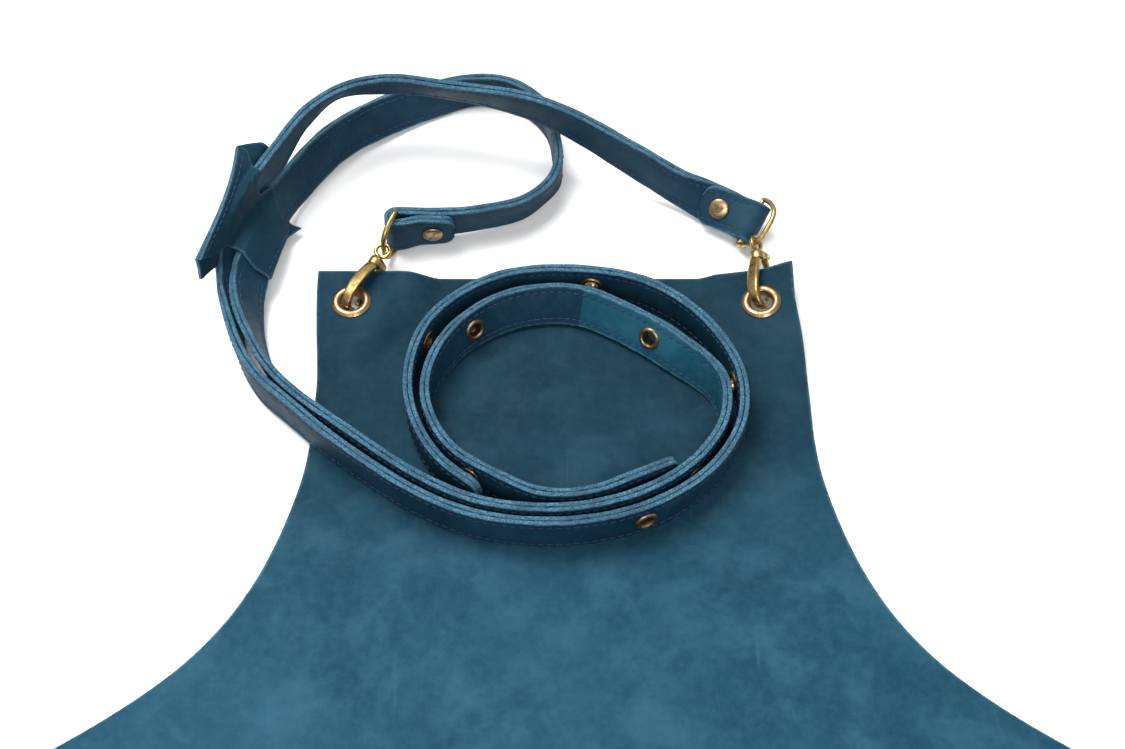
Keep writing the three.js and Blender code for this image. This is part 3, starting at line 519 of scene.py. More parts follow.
@dataclass(frozen=True)
class Thread:
    """Waxed twisted thread, paler on the raised ridges of its twist and darker in its grooves: painted highlight and
    painted shade.
    """

    deep: tuple[float, float, float] = (0.002, 0.01, 0.042)
    twist_highlight: tuple[float, float, float] = (0.004, 0.026, 0.105)

    def dress(self, name: str) -> bpy.types.Material:
        """Build the material under the given name."""
        material = bpy.data.materials.new(name)
        graph = Graph(material)
        # Painted highlight and shade: the twist that makes the bump also pales the colour where it rises and deepens it
        # where it sinks.
        twist = graph.span(graph.noise(1800.0, 3), 0.35, 0.65)
        graph.join(graph.blend(twist, self.deep, self.twist_highlight), graph.shader.inputs["Base Color"])
        graph.join(graph.relief(twist, 0.0001), graph.shader.inputs["Normal"])
        graph.shader.inputs["Roughness"].default_value = 0.6
        return material


@dataclass(frozen=True)
class AgedMetal:
    """Plated metal with a dark tarnish that is rubbed bright in places."""

    bright: tuple[float, float, float] = (0.52, 0.37, 0.14)
    tarnish: tuple[float, float, float] = (0.08, 0.05, 0.018)
    share: float = 0.7
    rough: float = 0.3

    def dress(self, name: str) -> bpy.types.Material:
        """Build the material under the given name."""
        material = bpy.data.materials.new(name)
        graph = Graph(material)
        blotch = graph.span(graph.noise(260.0, 6, 0.65, twist=0.5), 0.36, 0.66)
        speck = graph.span(graph.noise(1300.0, 4, 0.6), 0.45, 0.7)
        dull = graph.maths("MAXIMUM", graph.maths("MULTIPLY", blotch, self.share), graph.maths("MULTIPLY", speck, 0.35))
        graph.join(graph.blend(dull, self.bright, self.tarnish), graph.shader.inputs["Base Color"])
        graph.join(graph.span(dull, 0.0, 0.7, self.rough - 0.06, self.rough + 0.2), graph.shader.inputs["Roughness"])
        graph.join(graph.relief(graph.noise(700.0, 4), 0.00004), graph.shader.inputs["Normal"])
        graph.shader.inputs["Metallic"].default_value = 1.0
        return material


def dress_all() -> dict[Finish, bpy.types.Material]:
    """Make every finish once."""
    strap = Leather(
        deep=(0.0025, 0.018, 0.036),
        ground=(0.005, 0.029, 0.052),
        pale=(0.014, 0.052, 0.083),
        rubbed=(0.05, 0.14, 0.2),
        grain=1300.0,
        rough=0.52,
        marks=0.12,
        gloss=0.11,
    )
    lining = Leather(
        deep=(0.004, 0.04, 0.068),
        ground=(0.008, 0.068, 0.108),
        pale=(0.024, 0.115, 0.165),
        rough=0.8,
        marks=0.15,
        gloss=0.08,
    )
    makers = {
        # The sheet's leather takes a painted shade, dimmed to 0.47 towards the bib's top.
        Finish.PULL_UP: Leather(painted_shade=0.47),
        Finish.STRAP: strap,
        Finish.LINING: lining,
        Finish.CUT_EDGE: RawEdge(),
        Finish.THREAD: Thread(),
        Finish.BRASS: AgedMetal(),
        Finish.COPPER: AgedMetal(bright=(0.44, 0.29, 0.165), tarnish=(0.11, 0.06, 0.03), share=0.6, rough=0.34),
        Finish.BRONZE: AgedMetal(bright=(0.4, 0.28, 0.15), tarnish=(0.05, 0.032, 0.02), share=0.85, rough=0.34),
    }
    return {finish: maker.dress(finish.value) for finish, maker in makers.items()}


# The bench that sets pieces into the frame


@dataclass(frozen=True)
class Row:
    """Turns measured millimetres into the frame's metres."""

    shift: float

    @classmethod
    def of_frame(cls) -> "Row":
        """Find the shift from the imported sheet's top edge."""
        return cls(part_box("apron_body")[1].y * 1000 - SheetSizes.bib_top)

    def metres(self, points: Array) -> Array:
        """Points in the frame."""
        return (points + np.array([0.0, self.shift, 0.0])) / 1000


@dataclass
class Bench:
    """Makes patches into pieces that ride the frame."""

    row: Row
    finishes: dict[Finish, bpy.types.Material]

    def piece(
        self,
        name: str,
        patches: list[Patch],
        finishes: list[Finish],
        body: Body,
        slot: Slot,
        stands_for: tuple[str, ...] = (),
        crease: float = 40.0,
        weld: bool = False,
    ) -> bpy.types.Object:
        """Make one object of the patches.

        Args:
            name: The piece's name.
            patches: Its parts.
            finishes: The finishes that the faces' numbers mean.
            body: The body it rides on.
            slot: The record's slot. Not used.
            stands_for: The nodes that it replaces.
            crease: Faces that meet at more than this many degrees keep a sharp edge.
            weld: Whether to merge points that coincide, as at a turned form's poles.

        Returns:
            The object, at the origin and unturned.
        """
        starts = np.cumsum([0] + [len(p.points) for p in patches])
        points = self.row.metres(np.concatenate([p.points for p in patches]))
        faces: list[list[int]] = []
        numbers: list[int] = []
        for patch, start in zip(patches, starts):
            faces += (patch.quads + start).tolist() + [[k + int(start) for k in cap] for cap in patch.caps]
            numbers += patch.finish.tolist() + [int(patch.finish[0])] * len(patch.caps)
        mesh = bpy.data.meshes.new(name)
        mesh.from_pydata(points.tolist(), [], faces)
        mesh.polygons.foreach_set("material_index", numbers)
        mesh.polygons.foreach_set("use_smooth", [True] * len(faces))
        for mark in sorted({m for p in patches for m in p.marks}):
            values = np.concatenate([p.marks.get(mark, np.full(len(p.points), 9.0)) for p in patches])
            mesh.attributes.new(mark, "FLOAT", "POINT").data.foreach_set("value", values.astype(np.float32))
        if weld:
            form = bmesh.new()
            form.from_mesh(mesh)
            bmesh.ops.remove_doubles(form, verts=form.verts, dist=1e-6)
            form.to_mesh(mesh)
            form.free()
        mesh.set_sharp_from_angle(angle=math.radians(crease))
        mesh.update()
        piece = bpy.data.objects.new(name, mesh)
        bpy.context.scene.collection.objects.link(piece)
        for finish in finishes:
            mesh.materials.append(self.finishes[finish])
        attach(piece, body.value)
        if stands_for:
            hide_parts(*stands_for)
        log.info("%s: %d points, rides on %s", name, len(mesh.vertices), body.value)
        return piece

    @staticmethod
    def wall(piece: bpy.types.Object, thick: float, rounding: float) -> None:
        """Give an open surface a wall below it, with its rim in the next finish and its edges rounded."""
        solidify = piece.modifiers.new("wall", "SOLIDIFY")
        solidify.thickness = thick / 1000
        solidify.offset = -1.0
        solidify.use_even_offset = True
        solidify.material_offset_rim = 1
        bevel = piece.modifiers.new("rounding", "BEVEL")
        bevel.width = rounding / 1000
        bevel.segments = 2
        bevel.limit_method = "ANGLE"
        bevel.angle_limit = math.radians(50)


# The camera and the light


@dataclass(frozen=True)
class Shot:
    """The photograph's view: looking down at the bib from the skirt's side."""

    elevation: float = 55.0
    distance: float = 801.0
    lens: float = 50.0

    def set_up(self, row: Row) -> bpy.types.Object:
        """Place the camera.

        Args:
            row: The frame's row.

        Returns:
            The camera, aimed at the measured point.
        """
        angle = math.radians(self.elevation)
        eye = np.array([0, -self.distance * math.cos(angle), self.distance * math.sin(angle)])
        data = bpy.data.cameras.new("photo_camera")
        data.lens = self.lens
        data.sensor_width = 36.0
        data.sensor_fit = "HORIZONTAL"
        data.clip_end = 50.0
        camera = bpy.data.objects.new("photo_camera", data)
        camera.location = Vector(row.metres(eye))
        aim = Vector(row.metres(np.zeros(3))) - camera.location
        camera.rotation_euler = aim.to_track_quat("-Z", "Y").to_euler()
        bpy.context.scene.collection.objects.link(camera)
        bpy.context.scene.camera = camera
        return camera


@dataclass(frozen=True)
class Studio:
    """A white table and soft lamps."""

    floor: float = 0.86
    world: float = 0.55

    def set_up(self, row: Row) -> None:
        """Build the table, the lamps and the even light of the room.

        Args:
            row: The frame's row.
        """
        mesh = bpy.data.meshes.new("table_top")
        corners = [(-4, -4, -0.0002), (4, -4, -0.0002), (4, 4, -0.0002), (-4, 4, -0.0002)]
        mesh.from_pydata(corners, [], [[0, 1, 2, 3]])
        material = bpy.data.materials.new("white_table")
        graph = Graph(material)
        graph.shader.inputs["Base Color"].default_value = (self.floor, self.floor, self.floor, 1)
        graph.shader.inputs["Roughness"].default_value = 0.7
        mesh.materials.append(material)
        table = bpy.data.objects.new("table_top", mesh)
        bpy.context.scene.collection.objects.link(table)
        world = bpy.data.worlds.new("room")
        world.use_nodes = True
        background = world.node_tree.nodes["Background"]
        background.inputs["Color"].default_value = (1, 1, 1, 1)
        background.inputs["Strength"].default_value = self.world
        bpy.context.scene.world = world
        self.lamp(row, "key_lamp", (-450, 450, 1400), 900, 34)
        self.lamp(row, "front_lamp", (100, -900, 900), 700, 9)
        bpy.context.scene.view_settings.view_transform = "Standard"
        bpy.context.scene.view_settings.look = "None"

    @staticmethod
    def lamp(row: Row, name: str, place: tuple[float, float, float], size: float, power: float) -> None:
        """A square lamp at a place in millimetres, aimed at the bib."""
        data = bpy.data.lights.new(name, "AREA")
        data.size = size / 1000
        data.energy = power
        lamp = bpy.data.objects.new(name, data)
        lamp.location = Vector(row.metres(np.array(place, float)))
        aim = Vector(row.metres(np.zeros(3))) - lamp.location
        lamp.rotation_euler = aim.to_track_quat("-Z", "Y").to_euler()
        bpy.context.scene.collection.objects.link(lamp)


# The sheet


@dataclass(frozen=True)
class SheetSizes:
    """Sizes of the leather sheet, its grommets and its two lifted corners."""

    bib_top: float = 61.0
    bib_width: float = 250.0
    straight: float = 100.0
    armhole: float = 208.0
    length: float = 810.0
    skirt: float = 600.0
    hem_radius: float = 36.0
    thick: float = 2.0


@dataclass(frozen=True)
class Corner:
    """A lifted bib corner about its grommet: heights in millimetres, slopes in millimetres a millimetre."""

    side: int
    x: float
    y: float
    height: float
    slope_x: float
    slope_y: float
    inner: float
    fade: float
    curl: float


@dataclass
class ApronSheet:
    """The bib and skirt in one sheet."""

    sizes: SheetSizes = SheetSizes()
    corners: tuple[Corner, ...] = (
        Corner(-1, -110.4, 40.5, 6.4, 0.0, 0.015, 0.186, 0.08, 0.0),
        Corner(1, 104.2, 40.5, 6.6, 0.18, 0.06, 0.137, 0.05, 5.0),
    )
    armhole: tuple[float, ...] = (0, 0.01, 0.034, 0.068, 0.115, 0.182, 0.28, 0.42, 0.595, 0.79, 1)
    flange: float = 21.0
    bib_cut: float = 7.0
    waist_cut: float = 5.5
    lean: float = 4.5
    lean_to: float = 75.0

    def lift(self, x: Array, y: Array) -> Array:
        """Height of the underside: each corner's sloping plane, eased in from its inner side and fallen below.

        Args:
            x: Places across.
            y: Places along.

        Returns:
            The heights.
        """
        total = np.zeros_like(x)
        width = self.sizes.bib_width
        for c in self.corners:
            across, below = c.side * (x - c.x) / width, (c.y - y) / width
            weight = smooth((across + c.inner - 0.85 * np.maximum(0, below)) / c.fade)
            weight *= 1 - smooth((below - 0.07) / 0.13)
            plane = c.height + c.slope_x * c.side * (x - c.x) + c.slope_y * (y - c.y)
            away = (c.side * (x - c.x) + (y - c.y)) / math.sqrt(2)
            curl = c.curl * smooth((away - 0.62 * self.flange) / (width * 0.06))
            total += weight * np.maximum(0, plane + curl)
        return total

    def half_width(self, down: Array) -> Array:
        """Half the width at a distance down from the top edge: bib, armhole curve, skirt, rounded hem."""
        z = self.sizes
        share = np.clip((down - z.straight) / z.armhole, 0, 1)
        xs = np.linspace(0, 1, len(self.armhole))
        out = np.clip(spline(xs, np.array(self.armhole)[:, None], share)[:, 0], 0, 1)
        to_hem = np.clip(z.hem_radius - (z.length - down), 0, z.hem_radius)
        rounded = z.hem_radius - np.sqrt(z.hem_radius**2 - to_hem**2)
        return z.bib_width / 2 + (z.skirt - z.bib_width) / 2 * out - rounded

    def downs(self) -> Array:
        """Distances of the grid's rows down from the top edge: close at the bib's corners, wider on the skirt."""
        z = self.sizes
        hem = z.length - z.hem_radius * (1 - np.sin(np.linspace(0, math.pi / 2, 14)[1:]))
        return np.concatenate(
            [
                np.arange(0, 66, 1.5),
                np.arange(66, 310, 3.0),
                np.arange(312, z.length - z.hem_radius, 9.0),
                [z.length - z.hem_radius],
                hem,
            ]
        )

    def holes(self) -> list[tuple[float, float, float]]:
        """Places and radii of the grommets' holes."""
        z = self.sizes
        y = z.bib_top - z.straight - z.armhole - 22
        bib = [(c.x, c.y, self.bib_cut) for c in self.corners]
        return bib + [(side * (z.skirt / 2 - 22), y, self.waist_cut) for side in (-1, 1)]

    def build(self, bench: Bench) -> bpy.types.Object:
        """Make the sheet: a grid of rows and shares across, lifted at the corners, cut round the grommets.

        Args:
            bench: The bench.

        Returns:
            The piece.
        """
        z = self.sizes
        downs = self.downs()
        shares = np.sin(np.linspace(-1, 1, 151) * 1.35) / math.sin(1.35)
        half = self.half_width(downs)[:, None]
        x = half * shares[None, :]
        x = x - self.lean * smooth(1 - downs[:, None] / self.lean_to)
        y = np.broadcast_to(z.bib_top - downs[:, None], x.shape).copy()
        for cx, cy, radius in self.holes():
            away = np.hypot(x - cx, y - cy)
            near = (away < radius + 1.4) & (away > radius - 1.0)
            x = np.where(near, cx + (x - cx) * radius / np.maximum(away, 1e-6), x)
            y = np.where(near, cy + (y - cy) * radius / np.maximum(away, 1e-6), y)
        points = np.stack([x, y, z.thick + self.lift(x, y)], -1).reshape(-1, 3)
        quads = grid_quads(len(downs), len(shares))[:, ::-1]
        middle = points[quads].mean(1)
        inside = [np.hypot(middle[:, 0] - cx, middle[:, 1] - cy) < radius - 0.4 for cx, cy, radius in self.holes()]
        quads = quads[~np.any(inside, axis=0)]
        edge = np.minimum(half * (1 - np.abs(shares)), np.minimum(downs[:, None], z.length - downs[:, None]))
        patch = Patch(points, quads, np.zeros(len(quads), int), marks={"edge": edge.reshape(-1)})
        piece = bench.piece(
            "apron_sheet", [patch], [Finish.PULL_UP, Finish.CUT_EDGE], Body.APRON, Slot.APRON_LEATHER, ("apron_body",)
        )
        loose = bmesh.new()
        loose.from_mesh(piece.data)
        bmesh.ops.delete(loose, geom=[v for v in loose.verts if not v.link_faces], context="VERTS")
        loose.to_mesh(piece.data)
        loose.free()
        bench.wall(piece, z.thick, 0.45)
        return piece


# The yoke


@dataclass(frozen=True)
class YokeCut:
    """How far a layer's ends are cut in, in millimetres at shares across: at its upper end and its lower end."""

    upper: tuple[tuple[float, float], ...]
    lower: tuple[tuple[float, float], ...]

    def inward(self, across: Array) -> tuple[Array, Array]:
        """Both ends' distances, in straight runs from row to row."""
        ends = [np.array(rows, float).T for rows in (self.upper, self.lower)]
        return tuple(np.interp(across, *end) for end in ends)


@dataclass
class Yoke:
    """Two stitched leather patches over the straps' crossing, on a surface ruled between two curved sections."""

    width: float = 68.0
    length: float = 60.0
    layer: float = 1.6
    front: YokeCut = YokeCut(
        upper=(
            (0, 0),
            (0.13, 1),
            (0.25, 5.5),
            (0.4, 2),
            (0.53, -4),
            (0.6, 6),
            (0.75, 9),
            (0.86, 2),
            (0.93, -2),
            (1, 0),
        ),
        lower=((0, 9), (0.16, 8.5), (0.3, 13), (0.5, 17), (0.64, 15), (0.8, 5), (1, 0)),
    )
    back: YokeCut = YokeCut(
        upper=((0, 0), (0.16, -3), (0.3, 2), (0.5, 7), (0.62, 2), (0.7, -19), (0.86, -13), (1, 0)),
        lower=((0, 9), (0.16, 4), (0.3, 7), (0.5, 5), (0.6, -3), (0.68, -9), (0.86, -3.5), (1, 0)),
    )
    waist: float = 0.1
    drawn: float = 0.14
    reach: float = 0.025
    inset: float = 3.5
    fade: float = 4.5
    across: tuple[float, ...] = (0.0, 0.118, 0.456, 0.794, 1.0)
    north: tuple[tuple[float, float, float], ...] = (
        (-0.576, 0.376, 0.019),
        (-0.603, 0.38, 0.034),
        (-0.636, 0.395, 0.104),
        (-0.639, 0.388, 0.194),
        (-0.676, 0.411, 0.24),
    )
    south: tuple[tuple[float, float, float], ...] = (
        (-0.652, 0.184, 0.011),
        (-0.649, 0.187, 0.034),
        (-0.7, 0.178, 0.105),
        (-0.724, 0.17, 0.148),
        (-0.734, 0.156, 0.18),
    )

    def point(self, across: Array, along: Array) -> Array:
        """Points of the middle surface at shares across it and along it from its upper end."""
        upper = spline(self.across, self.north, across)
        lower = spline(self.across, self.south, across)
        share = np.asarray(along)[:, None]
        return SheetSizes.bib_width * ((1 - share) * upper + share * lower)

    def frames(self, across: Array, along: Array) -> Frames:
        """Frames of the middle surface: u across it, t up it and n off its outer side."""
        u = unit(self.point(across + 0.01, along) - self.point(across - 0.01, along))
        t = unit(self.point(across, along - 0.01) - self.point(across, along + 0.01))
        u = square_to(u, t)
        return Frames(self.point(across, along), t, u, np.cross(t, u), np.asarray(along))

    def stand(self, frames: Frames, straps: list[Frames], side: int, thick: float, width: float) -> Array:
        """How far a layer's middle stands off the middle surface to clear both straps, eased beside them.

        Args:
            frames: Places on the middle surface.
            straps: The straps' frames.
            side: 1 for the outer layer and -1 for the inner.
            thick: A strap's whole thickness.
            width: A strap's width.

        Returns:
            The stand of each place.
        """
        rest = GAP / 2 + self.layer / 2
        stand = np.full(len(frames.p), rest)
        for strap in straps:
            close = np.linalg.norm(strap.p - frames.p.mean(0), axis=1) < 75
            p, t, u, n = strap.p[close], strap.t[close], strap.u[close], strap.n[close]
            drift = np.abs(np.einsum("ijk,jk->ij", frames.p[:, None] - p[None], t))
            far = np.linalg.norm(frames.p[:, None] - p[None], axis=2) > 2 * width
            k = np.argmin(np.where(far, 1e6, drift), axis=1)
            offset = frames.p - p[k]
            facing = np.sum(frames.n * n[k], 1)
            middle = -np.sum(offset * n[k], 1) / facing
            height = side * middle + thick / 2 / np.abs(facing)
            beyond = np.abs(np.sum(offset * u[k], 1) + middle * np.sum(frames.n * u[k], 1)) - width / 2
            clear = np.maximum(rest, height + 3 * GAP + self.layer / 2)
            stand = np.maximum(stand, rest + (clear - rest) * (1 - smooth((beyond - 2 * GAP) / self.fade)))
        return stand

    def surface(self, i: Array, j: Array, straps: list[Frames], side: int, thick: float, width: float) -> Frames:
        """Frames on a layer's outer face at shares i down and j across its outline."""
        upper, lower = (self.front if side > 0 else self.back).inward(j)
        along = (upper + (self.length - upper - lower) * i) / self.length
        across = 0.5 + (j - 0.5) * (1 - self.waist * np.maximum(0, 1 - (2 * along - 1) ** 2))
        across = across + (1 - j) * (self.drawn * along - (self.reach * (1 - along) if side > 0 else 0))
        frames = self.frames(across, along)
        stand = self.stand(frames, straps, side, thick, width) + self.layer / 2
        frames.p = frames.p + side * stand[:, None] * frames.n
        return frames

    def build(self, bench: Bench, straps: "list[Strap]") -> None:
        """Make both layers and their stitching.

        Args:
            bench: The bench.
            straps: The two straps.
        """
        paths = [strap.frames for strap in straps]
        sizes = (straps[0].thick, straps[0].width)
        rows, columns = 57, 65
        i, j = np.meshgrid(np.linspace(0, 1, rows), np.linspace(0, 1, columns), indexing="ij")
        for side, name in ((1, "yoke_front"), (-1, "yoke_back")):
            face = self.surface(i.ravel(), j.ravel(), paths, side, *sizes)
            quads = grid_quads(rows, columns)
            a, b, c = (face.p[quads[0, k]] for k in range(3))
            if np.dot(np.cross(b - a, c - b), side * face.n[0]) < 0:
                quads = quads[:, ::-1]
            inset = np.minimum(np.minimum(i, 1 - i) * self.length, np.minimum(j, 1 - j) * self.width)
            patch = Patch(face.p, quads, np.zeros(len(quads), int), marks={"edge": inset.ravel()})
            piece = bench.piece(
                f"{name}_patch",
                [patch],
                [Finish.PULL_UP, Finish.CUT_EDGE],
                Body.APRON,
                Slot.APRON_LEATHER,
                (name,),
            )
            bench.wall(piece, self.layer, 0.4)
            rows_of_stitches = self.stitches(paths, side, sizes)
            bench.piece(
                f"{name}_stitches", rows_of_stitches, [Finish.THREAD], Body.APRON, Slot.APRON_LEATHER
            )

    def stitches(self, paths: list[Frames], side: int, sizes: tuple[float, float]) -> list[Patch]:
        """Stitches along both long edges."""
        a, b = self.inset / self.length, self.inset / self.width
        down = a + (1 - 2 * a) * np.linspace(0, 1, 60)
        patches = []
        for over in (np.full(60, 1 - b), np.full(60, b)):
            face = self.surface(down, over, paths, side, *sizes)
            path = Frames.along(face.p, np.cross(side * face.n, unit(np.gradient(face.p, axis=0))))
            count = int(path.s[-1] / 4.0)
            patches.append(stitch_row(path.at((np.arange(count) + 0.5) * path.s[-1] / count), 0.0, 0.1))
        return patches


def stitch_row(frames: Frames, across: float, off: float, length: float = 3.6, radius: float = 0.36) -> Patch:
    """Stitches at frames: bent capsules whose ends dip into the leather, as circles along a falling parabola.

    Args:
        frames: One frame for each stitch.
        across: Their offset across.
        off: Their height off the frame.
        length: A stitch's length.
        radius: The thread's radius.

    Returns:
        One patch with all of them.
    """
    x = np.array([-1.0, -0.82, -0.4, 0.4, 0.82, 1.0])
    swell = np.array([0.35, 0.85, 1.0, 1.0, 0.85, 0.35]) * radius
    angle = np.linspace(0, 2 * math.pi, 7, endpoint=False)
    ring = np.stack(
        np.broadcast_arrays(
            x[:, None] * length / 2,
            across + swell[:, None] * np.cos(angle),
            off + swell[:, None] * np.sin(angle) - 0.55 * (x[:, None] ** 4),
        ),
        -1,
    )
    rings, size = len(x), len(angle)
    points = frames.place(np.broadcast_to(ring.reshape(1, -1, 3), (len(frames.p), rings * size, 3)))
    one = grid_quads(rings, size, close_columns=True)
    starts = np.arange(len(frames.p)) * rings * size
    quads = (one[None] + starts[:, None, None]).reshape(-1, 4)
    ends = [[(rings - 1) * size + k for k in range(size)], list(range(size))[::-1]]
    caps = [[int(start) + k for k in end] for start in starts for end in ends]
    return Patch(points.reshape(-1, 3), quads, np.zeros(len(quads), int), caps).outward()


# The straps


@dataclass(frozen=True)
class Route:
    """A strap's way: rows of x and y as shares of the bib's width, z as a share of its own, and lean in degrees.

    The rows of rough are the coil's turns between which the lining shows its flesh side, joined end to end there.
    """

    shoulder: tuple[tuple[float, ...], ...]
    crossing: tuple[tuple[float, ...], ...]
    run: tuple[tuple[float, ...], ...]
    coil: tuple[tuple[float, ...], ...]
    tab_side: int
    rough: tuple[int, int] | None = None


RIGHT_ROUTE = Route(
    shoulder=(
        (0.41, 0.378, 0.37, 60),
        (0.342, 0.418, 0.48, 41),
        (0.252, 0.457, 0.725, 9),
        (0.155, 0.5, 1.165, 3),
        (-0.045, 0.593, 1.803, -11),
        (-0.25, 0.644, 1.926, -28),
        (-0.392, 0.659, 1.969, -27),
        (-0.488, 0.628, 2.068, -35),
        (-0.552, 0.565, 1.981, -21),
        (-0.611, 0.449, 1.82, -7),
    ),
    crossing=((0.65, 0, -0.4), (0.63, 0.25, -0.68), (0.53, 0.5, -0.68), (0.4, 0.75, -0.68), (0.294, 1, -0.64)),
    run=(
        (-0.677, 0.095, 0.55, 11),
        (-0.602, -0.065, 0.56, 0),
        (-0.544, -0.122, 0.61, 0),
        (-0.44, -0.215, 0.609, 0),
    ),
    coil=(
        (240, 1.0, 0),
        (270, 0.895, 0),
        (300, 0.897, 0),
        (330, 0.965, 0),
        (350, 1.003, 0),
        (364, 1.003, 0),
        (390, 0.96, 0),
        (420, 0.93, 0),
        (450, 0.91, 0),
        (480, 0.98, 0),
        (510, 1.03, 0),
        (540, 0.99, 0),
        (570, 0.92, 0),
        (591, 0.868, 0),
    ),
    tab_side=-1,
)
LEFT_ROUTE = Route(
    shoulder=(
        (-0.355, 0.356, 0.69, 2),
        (-0.18, 0.375, 0.63, 14),
        (-0.078, 0.414, 0.575, 15),
        (-0.037, 0.458, 0.56, 14),
        (-0.011, 0.515, 0.54, 3),
        (-0.013, 0.58, 0.53, 0),
        (-0.032, 0.669, 0.53, 0),
        (-0.125, 0.76, 0.53, 0),
        (-0.222, 0.765, 0.53, 2),
        (-0.278, 0.746, 0.52, 11),
        (-0.408, 0.687, 0.5, 31),
        (-0.501, 0.614, 0.515, 27),
        (-0.588, 0.474, 0.598, 26),
    ),
    crossing=((0.287, 0, 0.34), (0.287, 0.25, 0.66), (0.287, 0.5, 0.68), (0.28, 0.75, 0.68), (0.25, 1, 0.64)),
    run=((-0.608, 0.004, 0.62, 11), (-0.414, -0.196, 0.62, 0)),
    coil=(
        (240, 0.905, 0),
        (270, 0.803, 0),
        (300, 0.797, 0),
        (330, 0.86, 0),
        (350, 0.902, 0),
        (364, 0.88, 8),
        (390, 0.71, 25),
        (420, 0.655, 25),
        (450, 0.72, 25),
        (480, 0.785, 24),
        (510, 0.85, 12),
        (540, 0.89, 0),
        (570, 0.82, 0),
        (591, 0.742, 0),
        (615, 0.731, 0),
        (640, 0.698, 0),
        (660, 0.685, 0),
        (681, 0.765, 0),
    ),
    tab_side=1,
    rough=(330, 450),
)


